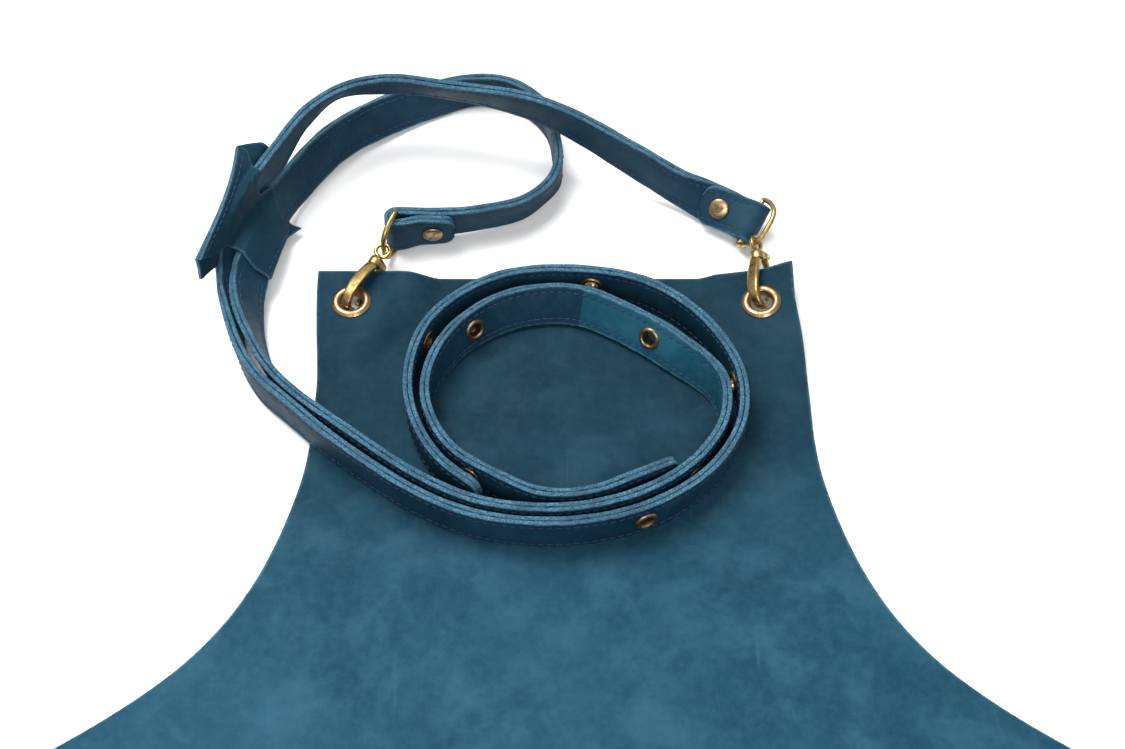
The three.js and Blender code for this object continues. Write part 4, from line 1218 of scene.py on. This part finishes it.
@dataclass
class Strap:
    """A strap of two layers sewn together, folded round a ring at one end and ending in the coil."""

    name: str
    route: Route
    yoke: Yoke
    width: float = 22.0
    layer: float = 2.2
    seam: float = 0.3
    step: float = 12.5
    fine: float = 2.0
    tab: float = 30.0
    fold_blend: float = 14.0
    ring_wire: float = 2.8
    coil_reach: float = 83.0
    coil_x: float = 6.0
    coil_y: float = -24.8
    eyelet_first: float = 94.0
    eyelet_pitch: float = 100.0
    rivet_at: float = 18.75
    bore: float = 3.5
    pitch: float = 4.2
    inset: float = 3.0

    def __post_init__(self) -> None:
        """Work out the frames from the route."""
        self.thick = 2 * self.layer + self.seam
        p, u = self.stations()
        xs = run_of(p)
        count = round(xs[-1] / self.step)
        from_end = self.steps(self.eyelet_first) + 0.5 + self.steps(self.eyelet_pitch) * np.arange(4)
        self.eyelets_at = xs[-1] * (1 - from_end / count)
        rows = np.hstack([p, u])
        body = spline(xs, rows, np.linspace(0, xs[-1], round(xs[-1] / self.fine) + 1))
        self.main = Frames.along(body[:, :3], body[:, 3:])
        eyelet = spline(xs, rows, self.eyelets_at)
        turns = [row[0] for row in self.route.coil]
        first = len(xs) - len(turns)
        self.rough = [xs[first + turns.index(turn)] for turn in self.route.rough or (turns[0], turns[0])]
        near = [int(np.argmin(np.linalg.norm(self.main.p - place, axis=1))) for place in eyelet[:, :3]]
        self.fold()
        self.eyelets = self.frames.at(self.frames.s[np.array(near) + len(self.frames.p) - len(self.main.p)])

    def steps(self, length: float) -> int:
        """How many of the source's steps a length takes."""
        return math.floor(length / self.step + 0.5)

    def stations(self) -> tuple[Array, Array]:
        """Points of the middle line and the directions of its width: shoulder, crossing, run and coil."""
        width = SheetSizes.bib_width
        coil = []
        for turn, reach, lean in self.route.coil:
            tilt = math.radians(lean)
            half = self.width / 2 * math.cos(tilt) + self.thick / 2 * abs(math.sin(tilt))
            x = (self.coil_x + reach * self.coil_reach * math.cos(math.radians(turn))) / width
            y = (self.coil_y + reach * self.coil_reach * math.sin(math.radians(turn))) / width
            coil.append((x, y, (SheetSizes.thick + GAP + half) / self.width, lean))
        first = self.led(np.array(self.route.shoulder))
        last = self.led(np.array(list(self.route.run) + coil))
        across, along, off = np.array(self.route.crossing).T
        pass_by = self.yoke.frames(across, along)
        middle = pass_by.p + (off * self.thick)[:, None] * pass_by.n
        return np.vstack([first[0], middle, last[0]]), np.vstack([first[1], pass_by.u, last[1]])

    def led(self, rows: Array) -> tuple[Array, Array]:
        """Points of route rows, and their width's directions leaning from upright to the right of the way."""
        points = rows[:, :3] * [SheetSizes.bib_width, SheetSizes.bib_width, self.width]
        ahead, behind = np.vstack([points[1:], points[-1:]]), np.vstack([points[:1], points[:-1]])
        t = unit(ahead - behind)
        h = unit(np.cross(t, UP))
        v = np.cross(h, t)
        lean = np.radians(rows[:, 3:4])
        return points, v * np.cos(lean) + h * np.sin(lean)

    def fold(self) -> None:
        """Add the tab, which lies on the strap and goes round the ring's bar in a half circle."""
        radius = self.ring_wire / 2 + GAP + self.thick / 2
        lap = self.thick + GAP
        side = self.route.tab_side
        first = self.main.at(0.0)
        t, u, n = first.t[0], first.u[0], side * first.n[0]
        self.bar = first.p[0] + radius * n
        d = np.arange(self.tab, 0, -1.25)
        laid = self.main.at(d)
        off = lap + (2 * radius - lap) * (1 - smooth(d / self.fold_blend))
        tab = laid.p + side * off[:, None] * laid.n
        angle = np.linspace(0, math.pi, 15)[:-1, None]
        bend = self.bar + radius * (np.cos(angle) * n - np.sin(angle) * t)
        p = np.vstack([tab, bend, self.main.p])
        self.frames = Frames.along(p, np.vstack([laid.u, np.broadcast_to(u, bend.shape), self.main.u]))
        self.bar_u = u
        held = self.main.at(self.rivet_at)
        n = side * held.n
        self.rivet = Frames(held.p + lap / 2 * n, np.cross(held.u, n), held.u, n, held.s)

    def half_at(self, from_end: Array) -> Array:
        """Half the width near an end: its corners are cut round at 6 mm."""
        r = 6.0
        d = np.clip(r - from_end, 0, r)
        return self.width / 2 - r + np.sqrt(r**2 - d**2)

    def layer_patch(self, side: int) -> Patch:
        """One layer: a rounded section of width and thickness carried along the frames.

        Args:
            side: 1 for the face and -1 for the lining.

        Returns:
            The patch, whose mark edge is the distance in from the cut edge.
        """
        f = self.frames
        w = self.half_at(np.minimum(f.s, f.s[-1] - f.s))[:, None]
        h, r = self.layer / 2, 0.5
        inward = np.array([0.0, 0.7, 1.4, 2.1, 2.6, 3.0, 3.4, 3.9, 4.8, 6.2, 8.2])
        dip = -0.16 * np.exp(-(((inward - self.inset) / 0.55) ** 2)) + 0.14 * smooth((inward - 3.2) / 4)
        corner = np.radians([75.0, 50.0, 25.0, 0.0])
        side_a = -r + r * np.cos(corner)
        side_b = h - r + r * np.sin(corner)
        outer_a = np.concatenate([-r - inward[::-1], side_a])
        outer_b = np.concatenate([(h + dip)[::-1], side_b])
        half_a = np.concatenate([outer_a, [0.0, -0.25]])
        half_b = np.concatenate([outer_b, [-h + 0.3, -h]])
        width_share = np.concatenate([half_a, half_a[::-1]])
        sign = np.concatenate([np.ones(len(half_a)), -np.ones(len(half_a))])
        b = np.concatenate([half_b, half_b[::-1]])
        a = sign * (w + width_share)
        wobble = 0.12 * np.sin(f.s / 7.3 + side) + 0.1 * np.sin(f.s / 3.1 + 2 * side)
        a = a + (sign * smooth(1 - np.abs(width_share) / 2.0))[None] * wobble[:, None]
        centre = side * (self.seam / 2 + h)
        local = np.stack(np.broadcast_arrays(0 * a, a, centre + side * b), -1)
        size = len(b)
        inner_face = np.abs(b + h) < 0.01
        cut = (np.abs(width_share) < 0.2) | ((b < h - r * 0.5) & ~inner_face)
        finish = np.where(cut & np.roll(cut, -1), 1, 0)
        start = f.s[len(f.p) - len(self.main.p)]
        along = f.s[:-1, None] - start
        rough = (along > self.rough[0]) & (along < self.rough[1]) & (side < 0)
        finish = np.where(rough & (finish[None] == 0), 2, finish[None])
        marks = {"edge": np.broadcast_to(np.abs(width_share), (len(f.p), size)).copy()}
        return tube(f.place(local), finish=finish, marks=marks)

    def sewing(self, side: int) -> list[Patch]:
        """Two rows of stitches on one face, left out where the yoke and the tab hide them."""
        f = self.frames
        start = f.s[len(f.p) - len(self.main.p)]
        s = np.arange(start + 6, f.s[-1] - 4, self.pitch)
        places = f.at(s)
        ends = self.yoke.point(np.array([0.5, 0.5]), np.array([0.12, 0.88]))
        spine = unit(ends[1:] - ends[:1])
        share = np.sum((places.p - ends[0]) * spine, 1) / np.linalg.norm(ends[1] - ends[0])
        clear = (share < 0) | (share > 1) | (np.linalg.norm(places.p - ends.mean(0), axis=1) > 60)
        under = (s < start + self.tab - 3) & (side == self.route.tab_side)
        places = f.at(s[clear & ~under])
        rows = [places]
        if side == self.route.tab_side:
            rows.append(f.at(np.arange(4, self.tab - 4, self.pitch)))
        patches = []
        for row in rows:
            flip = -1 if row is not places else 1
            off = flip * side * (self.thick / 2 + 0.02)
            for edge in (-1, 1):
                row_side = Frames(row.p, row.t, row.u, np.sign(off) * row.n, row.s)
                patches.append(stitch_row(row_side, edge * (self.width / 2 - self.inset - 0.4), abs(off)))
        return patches

    def build(self, bench: Bench) -> None:
        """Make both layers, their stitching, the eyelets and the rivet.

        Args:
            bench: The bench.
        """
        for side, part in ((1, "face"), (-1, "lining")):
            node = f"strap_{self.name}_{part}"
            layer = bench.piece(
                f"{node}_layer",
                [self.layer_patch(side)],
                [Finish.STRAP, Finish.CUT_EDGE, Finish.LINING],
                Body.APRON,
                Slot.STRAP_LEATHER,
                (node,),
                crease=55,
            )
            self.drill(bench, layer)
            bench.piece(f"{node}_stitches", self.sewing(side), [Finish.THREAD], Body.APRON, Slot.STRAP_LEATHER)
        for k, place in enumerate(self.eyelet_places(), 1):
            node = f"eyelet_{self.name}_{k}"
            bench.piece(f"{node}_ring", [self.eyelet(place)], [Finish.BRONZE], Body.APRON, Slot.BRASS, (node,))
        bench.piece(
            f"rivet_{self.name}_caps",
            [self.rivet_patch()],
            [Finish.BRONZE],
            Body.APRON,
            Slot.BRASS,
            (f"rivet_{self.name}",),
            weld=True,
        )

    def eyelet_places(self) -> list[Frames]:
        """One frame for each eyelet."""
        return [Frames(*(getattr(self.eyelets, v)[k : k + 1] for v in "ptuns")) for k in range(4)]

    def drill(self, bench: Bench, layer: bpy.types.Object) -> None:
        """Cut the eyelets' bores through a layer.

        Args:
            bench: The bench.
            layer: The layer's piece.
        """
        deep, radius = self.thick / 2 + 1.5, self.bore + 0.85
        core = np.array([(0.0001, -deep), (radius, -deep), (radius, deep), (0.0001, deep)])
        form = bmesh.new()
        for place in self.eyelet_places():
            patch = turned(core, 28, place)
            vertices = [form.verts.new(point) for point in bench.row.metres(patch.points)]
            for quad in patch.quads:
                form.faces.new([vertices[int(k)] for k in quad])
        bmesh.ops.remove_doubles(form, verts=form.verts, dist=1e-6)
        mesh = bpy.data.meshes.new("bores")
        form.to_mesh(mesh)
        form.free()
        mesh.materials.append(bench.finishes[Finish.CUT_EDGE])
        cutter = bpy.data.objects.new("bores", mesh)
        bpy.context.scene.collection.objects.link(cutter)
        bores = layer.modifiers.new("bores", "BOOLEAN")
        bores.operation = "DIFFERENCE"
        bores.solver = "EXACT"
        bores.object = cutter
        bpy.context.view_layer.update()
        depsgraph = bpy.context.evaluated_depsgraph_get()
        whole = layer.evaluated_get(depsgraph)
        cut = bpy.data.meshes.new_from_object(whole, preserve_all_data_layers=True, depsgraph=depsgraph)
        layer.modifiers.clear()
        layer.data = cut
        bpy.data.objects.remove(cutter)
        bpy.data.meshes.remove(mesh)

    def eyelet(self, frame: Frames) -> Patch:
        """An eyelet: a bore with a rolled flange on each face of the strap."""
        seat, r = self.thick / 2 + GAP, self.bore
        half = through(
            [
                (r, 0.0),
                (r, seat - 0.1),
                (r + 0.25, seat + 0.6),
                (r + 1.1, seat + 0.95),
                (r + 2.0, seat + 0.6),
                (r + 2.4, seat),
            ],
            18,
        )
        back = half[::-1] * [1, -1]
        inner = np.array([(r + 0.8, seat - 0.1), (r + 0.8, -seat + 0.1)])
        return turned(np.vstack([half, inner, back[:-1]]), 40, frame)

    def rivet_patch(self) -> Patch:
        """The rivet: a domed cap on each side of a shank."""
        seat = self.thick + 2 * GAP
        cap = through(
            [
                (1.6, seat),
                (5.1, seat),
                (5.5, seat + 0.15),
                (5.35, seat + 0.6),
                (4.2, seat + 1.15),
                (2.2, seat + 1.45),
            ],
            22,
        )
        cap = np.vstack([cap, [[0.0001, seat + 1.5]]])
        back = cap[::-1] * [1, -1]
        return turned(np.vstack([back, cap]), 36, self.rivet)


# The hooks and their rings


@dataclass(frozen=True)
class Hang:
    """How a hook hangs, in degrees: the ring's heading and rise, the eye's slide along it, the hook's roll."""

    heading: float
    rise: float
    slide: float
    roll: float


@dataclass
class HookSet:
    """A ring in the strap's fold, a swivel eye, a claw and its lever, and the grommet that the claw holds."""

    name: str
    strap: Strap
    corner: Corner
    hang: Hang
    claw_body: Body
    lever_body: Body
    ring_bar: float = 28.0
    ring_depth: float = 15.5
    ring_square: float = 0.6
    ring_wire: float = 2.8
    length: float = 38.3
    width: float = 5.6
    rise: float = 6.5
    drop: float = 5.2
    collar: float = 7.8
    collar_length: float = 5.0
    eye_wire: float = 2.2
    eye_inner: float = 5.4
    stem: float = 2.6
    head: float = 4.2
    lever_width: float = 3.6
    lever_thick: float = 1.8
    bulge: float = 8.5
    pin: float = 1.6
    cheek: float = 1.2
    hole: float = 11.6
    flange: float = 21.0

    def __post_init__(self) -> None:
        """Work out the ring's plane and the hook's frame from the strap's fold."""
        u = self.strap.bar_u
        heading, rise = math.radians(self.hang.heading), math.radians(self.hang.rise)
        level = np.array([math.cos(heading), math.sin(heading), 0]) * math.cos(rise)
        self.toward = square_to(level + [0, 0, math.sin(rise)], u)
        self.ring_side = np.cross(u, self.toward)
        angle = math.radians(self.hang.slide)
        self.eye_at = self.bow(np.array([angle]))[0]
        self.ring_way = unit(self.bow(np.array([angle + 0.01]))[0] - self.bow(np.array([angle - 0.01]))[0])
        thick = SheetSizes.thick
        seat = np.array([self.corner.x, self.corner.y, self.corner.height + thick / 2])
        out = self.eye_at - seat
        out[2] = 0
        throat = self.eye_at - unit(out) * math.sqrt(self.length**2 - (self.eye_at[2] - seat[2]) ** 2)
        throat[2] = seat[2]
        x = unit(self.eye_at - throat)
        y, roll = unit(np.cross(UP, x)), math.radians(self.hang.roll)
        y = y * math.cos(roll) + np.cross(x, y) * math.sin(roll)
        self.throat, self.x, self.y, self.z = throat, x, y, np.cross(x, y)
        self.eye_ring = (self.eye_inner + self.eye_wire) / 2
        self.eye_centre = self.length - (self.eye_inner / 2 - self.ring_wire / 2 - GAP)
        self.collar_top = self.eye_centre - self.eye_ring - self.eye_wire / 2 - GAP
        self.collar_base = self.collar_top - self.collar_length
        self.pivot = (self.collar_base + 3.2, -(self.collar / 2 + 1.7))

    def bow(self, turn: Array) -> Array:
        """Points of the ring's bow: a rounded square's side, with the sine raised to a power below one."""
        along = -np.sign(turn) * np.abs(np.sin(turn)) ** self.ring_square * self.ring_bar / 2
        out = self.ring_depth * np.cos(turn)
        return self.strap.bar + out[:, None] * self.toward + along[:, None] * self.strap.bar_u

    def to_place(self, local: Array) -> Array:
        """Points given along, across and above the hook."""
        return self.throat + local[..., :1] * self.x + local[..., 1:2] * self.y + local[..., 2:] * self.z

    def bar_patch(self, rows: list[tuple[float, ...]], square: float, count: int = 60, sides: int = 24) -> Patch:
        """A bar through rows of place along, height, width and thickness, with a rounded square section.

        Args:
            rows: The rows.
            square: The power on sine and cosine, one for an ellipse and less for squarer sides.
            count: Sections along it.
            sides: Points in a section.

        Returns:
            The patch, its ends drawn in round.
        """
        table = np.array(rows, float)
        xs = run_of(table[:, :2])
        s = xs[-1] * (1 - np.cos(np.linspace(0, math.pi, count))) / 2
        values = spline(xs, table, s)
        way = unit(np.gradient(values[:, :2], axis=0))
        from_end = np.minimum(s, xs[-1] - s)
        narrow = np.sqrt(np.clip(1 - (1 - np.clip(from_end / 1.1, 0, 1)) ** 2, 0.02, 1))
        angle = np.linspace(0, 2 * math.pi, sides, endpoint=False)
        c = np.sign(np.cos(angle)) * np.abs(np.cos(angle)) ** square
        d = np.sign(np.sin(angle)) * np.abs(np.sin(angle)) ** square
        half_width, half_thick = (values[:, 2:3] / 2 * narrow[:, None], values[:, 3:4] / 2 * narrow[:, None])
        lift = half_thick * d
        local = np.stack([values[:, :1] - way[:, 1:] * lift, half_width * c, values[:, 1:2] + way[:, :1] * lift], -1)
        return tube(self.to_place(local))

    def round_about(self, profile: list[tuple[float, float]], origin: tuple[float, float, float], axis: str) -> Patch:
        """A form turned about a line along or across the hook, from rows of radius and place on that line."""
        place = self.to_place(np.array(origin, float))
        n = self.x if axis == "along" else self.y
        frame = Frames(place[None], self.z[None], np.cross(n, self.z)[None], n[None], np.zeros(1))
        return turned(np.array(profile, float), 32, frame)

    def cheek_patch(self, side: int) -> Patch:
        """A cheek beside the lever: a plate with a round end about the pivot, in three stacked outlines."""
        a, h = self.pivot
        angle = np.linspace(math.pi, 2 * math.pi, 17)
        r, foot = 1.9, -1.6
        round_end = np.stack([a + r * np.cos(angle), h + 0.25 + r * np.sin(angle)], 1)
        outline = np.vstack([[a - r, foot], round_end, [a + r, foot]])
        middle = outline.mean(0)
        inner = self.lever_width / 2 + GAP
        rings = []
        for off, shrink in ((0.0, 0.9), (0.15, 1.0), (self.cheek - 0.25, 1.0), (self.cheek, 0.86)):
            flat = middle + (outline - middle) * shrink
            y = np.full(len(flat), side * (inner + off))
            rings.append(np.stack([flat[:, 0], y, flat[:, 1]], 1))
        return tube(self.to_place(np.array(rings)))

    def build(self, bench: Bench) -> None:
        """Make the ring, eye, claw, lever and grommet.

        Args:
            bench: The bench.
        """
        turn = np.linspace(-math.pi / 2, math.pi / 2, 64)
        bar = np.linspace(-0.9, 0.9, 12)[:, None] * self.ring_bar / 2 * self.strap.bar_u + self.strap.bar
        ring = wire(np.vstack([self.bow(turn), bar]), self.ring_side, self.ring_wire / 2, 18)
        for part, form, patches, body in (
            ("d_ring", "wire", [ring], Body.APRON),
            ("hook_eye", "wire", self.eye(), Body.APRON),
            ("hook_claw", "body", self.claw(), self.claw_body),
            ("hook_lever", "body", self.lever(), self.lever_body),
        ):
            node = f"{part}_{self.name}"
            bench.piece(f"{node}_{form}", patches, [Finish.BRASS], body, Slot.BRASS, (node,))
        thick = SheetSizes.thick
        normal = unit(np.array([-self.corner.slope_x * self.corner.side, -self.corner.slope_y, 1.0]))
        t = square_to(np.array([1.0, 0, 0]), normal)
        seat = np.array([[self.corner.x, self.corner.y, self.corner.height + thick / 2]])
        frame = Frames(seat, t[None], np.cross(normal, t)[None], normal[None], np.zeros(1))
        bench.piece(
            f"bib_grommet_{self.name}_ring",
            [grommet_patch(frame, self.hole / 2, self.flange / 2, 9.5, False)],
            [Finish.COPPER],
            Body.APRON,
            Slot.COPPER_BRASS,
            (f"bib_grommet_{self.name}",),
        )

    def eye(self) -> list[Patch]:
        """The swivel eye: a ring through the D ring, and a headed stem that turns in the collar."""
        normal = square_to(self.ring_way, self.x)
        centre = self.throat + self.x * self.eye_centre
        upright = np.cross(normal, self.x)
        angle = np.linspace(0, 2 * math.pi, 48, endpoint=False)[:, None]
        points = centre + self.eye_ring * (np.cos(angle) * self.x + np.sin(angle) * upright)
        r, base, top = self.stem / 2, self.collar_base + 1.6, self.eye_centre - self.eye_ring
        profile = [(0.0001, base), (self.head / 2, base), (self.head / 2, base + 1.2), (r, base + 1.2), (r, top - 1.4)]
        profile += [(r + 0.5, top - 0.7), (r + 0.3, top), (0.0001, top)]
        return [wire(points, normal, self.eye_wire / 2, 16), self.round_about(profile, (0, 0, 0), "along")]

    def claw(self) -> list[Patch]:
        """The claw: nose under the sheet, throat through the grommet, flat back over it, collar and cheeks."""
        w, base = self.width, self.collar_base
        back = self.bar_patch(
            [
                (3.0, -self.drop, 0.4 * w, 2.2),
                (0.9, -0.74 * self.drop, 0.5 * w, 2.7),
                (0.0, 0.0, 0.62 * w, 3.0),
                (0.5, 0.5 * self.rise, 0.76 * w, 3.2),
                (3.4, 0.86 * self.rise, 0.9 * w, 3.3),
                (9.0, self.rise, 1.12 * w, 3.2),
                (17.0, 0.8 * self.rise, 1.15 * w, 3.2),
                (base - 1.0, 0.28 * self.rise, w, 4.0),
                (base + 1.2, 0.12 * self.rise, 0.9 * w, 4.0),
            ],
            0.4,
        )
        r, top, bore = self.collar / 2, self.collar_top, self.stem / 2 + GAP
        collar = self.round_about(
            [
                (0.0001, base),
                (r - 0.7, base),
                (r - 0.1, base + 0.5),
                (r, base + 1.1),
                (r, top - 1.7),
                (r - 0.35, top - 1.35),
                (r - 0.05, top - 0.9),
                (r - 0.3, top - 0.25),
                (r - 1.0, top),
                (bore, top),
                (bore, top - 2.6),
                (0.0001, top - 2.6),
            ],
            (0, 0, 0),
            "along",
        )
        return [back, collar, self.cheek_patch(1), self.cheek_patch(-1)]

    def lever(self) -> list[Patch]:
        """The sprung lever: a round head on its pin, a tongue under the sheet to the nose."""
        a, h = self.pivot
        tongue = self.bar_patch(
            [
                (a + 1.2, h, self.lever_width, 2.3),
                (a - 1.4, h - 1.0, self.lever_width, 1.9),
                (0.86 * a, -0.94 * self.bulge, self.lever_width, self.lever_thick - 0.3),
                (0.6 * a, -1.01 * self.bulge, self.lever_width, self.lever_thick - 0.3),
                (0.35 * a, -0.86 * self.bulge, self.lever_width, self.lever_thick),
                (5.1, -1.05 * self.drop, 0.8 * self.lever_width, self.lever_thick),
            ],
            0.6,
        )
        half, r = self.lever_width / 2 + GAP + self.cheek + 0.3, self.pin / 2
        pin = self.round_about(
            [
                (0.0001, -half - 0.25),
                (r + 0.1, -half - 0.2),
                (r + 0.35, -half + 0.2),
                (r, -half + 0.3),
                (r, half - 0.3),
                (r + 0.35, half - 0.2),
                (r + 0.1, half + 0.2),
                (0.0001, half + 0.25),
            ],
            (a, 0, h),
            "across",
        )
        return [tongue, pin]


def grommet_patch(frame: Frames, hole: float, flange: float, under: float, flat: bool) -> Patch:
    """A grommet about the sheet's middle: a flange that rises in an easy curve to a bright lip rolled into the bore.

    Args:
        frame: Its frame, n off the sheet.
        hole: The bore's radius.
        flange: The flange's radius.
        under: The radius of the rolled flange below.
        flat: Whether it lies flush below, as where the sheet lies on the table.

    Returns:
        The patch.
    """
    top = SheetSizes.thick / 2 + GAP / 2
    wall = hole + 0.9
    dome = through(
        [
            (flange, top),
            (flange - 0.1, top + 0.4),
            (flange - 0.8, top + 1.0),
            ((flange + hole) / 2 + 0.5, top + 1.6),
            (hole + 1.2, top + 1.5),
            (hole + 0.4, top + 0.95),
            (hole + 0.1, top + 0.3),
            (hole, top),
        ],
        40,
    )
    if flat:
        below = np.array([(hole, -top + GAP / 2), (wall, -top + GAP / 2)])
    else:
        below = through([(hole, -top - 0.4), (hole + 0.6, -top - 0.85), (under - 0.6, -top - 0.7), (under, -top)], 14)
        below = np.vstack([[(hole, -top + 0.3)], below, [(wall, -top)]])
    return turned(np.vstack([dome, below, [(wall, top)]]), 72, frame)


@dataclass
class WaistGrommets:
    """The plain grommets at the skirt's upper corners."""

    inset: float = 22.0
    hole: float = 4.25
    flange: float = 8.5

    def build(self, bench: Bench, sheet: ApronSheet) -> None:
        """Make one on each side."""
        z = sheet.sizes
        y = z.bib_top - z.straight - z.armhole - self.inset
        for side, name in ((1, "right"), (-1, "left")):
            place = np.array([[side * (z.skirt / 2 - self.inset), y, z.thick / 2]])
            frame = Frames(place, np.array([[1.0, 0, 0]]), np.array([[0, 1.0, 0]]), UP[None], np.zeros(1))
            bench.piece(
                f"waist_grommet_{name}_ring",
                [grommet_patch(frame, self.hole, self.flange, self.flange, True)],
                [Finish.COPPER],
                Body.APRON,
                Slot.COPPER_BRASS,
                (f"waist_grommet_{name}",),
            )


def main() -> None:
    """Load the frame, then build the camera, the studio and every sub-assembly in order."""
    logging.basicConfig(level=logging.INFO, format="%(message)s")
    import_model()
    row = Row.of_frame()
    Shot().set_up(row)
    Studio().set_up(row)
    bench = Bench(row, dress_all())
    sheet = ApronSheet()
    sheet.build(bench)
    yoke = Yoke()
    right = Strap("right", RIGHT_ROUTE, yoke)
    left = Strap("left", LEFT_ROUTE, yoke)
    right.build(bench)
    left.build(bench)
    yoke.build(bench, [left, right])
    hooks = [
        HookSet("right", right, sheet.corners[1], Hang(-58, 30, 32, -42), Body.CLAW_RIGHT, Body.LEVER_RIGHT),
        HookSet("left", left, sheet.corners[0], Hang(-114, 0, 0, -8), Body.CLAW_LEFT, Body.LEVER_LEFT),
    ]
    for hook in hooks:
        log.info("hook %s throat %s x %s", hook.name, np.round(hook.throat, 3), np.round(hook.x, 4))
        hook.build(bench)
    WaistGrommets().build(bench, sheet)


if __name__ == "__main__":
    main()
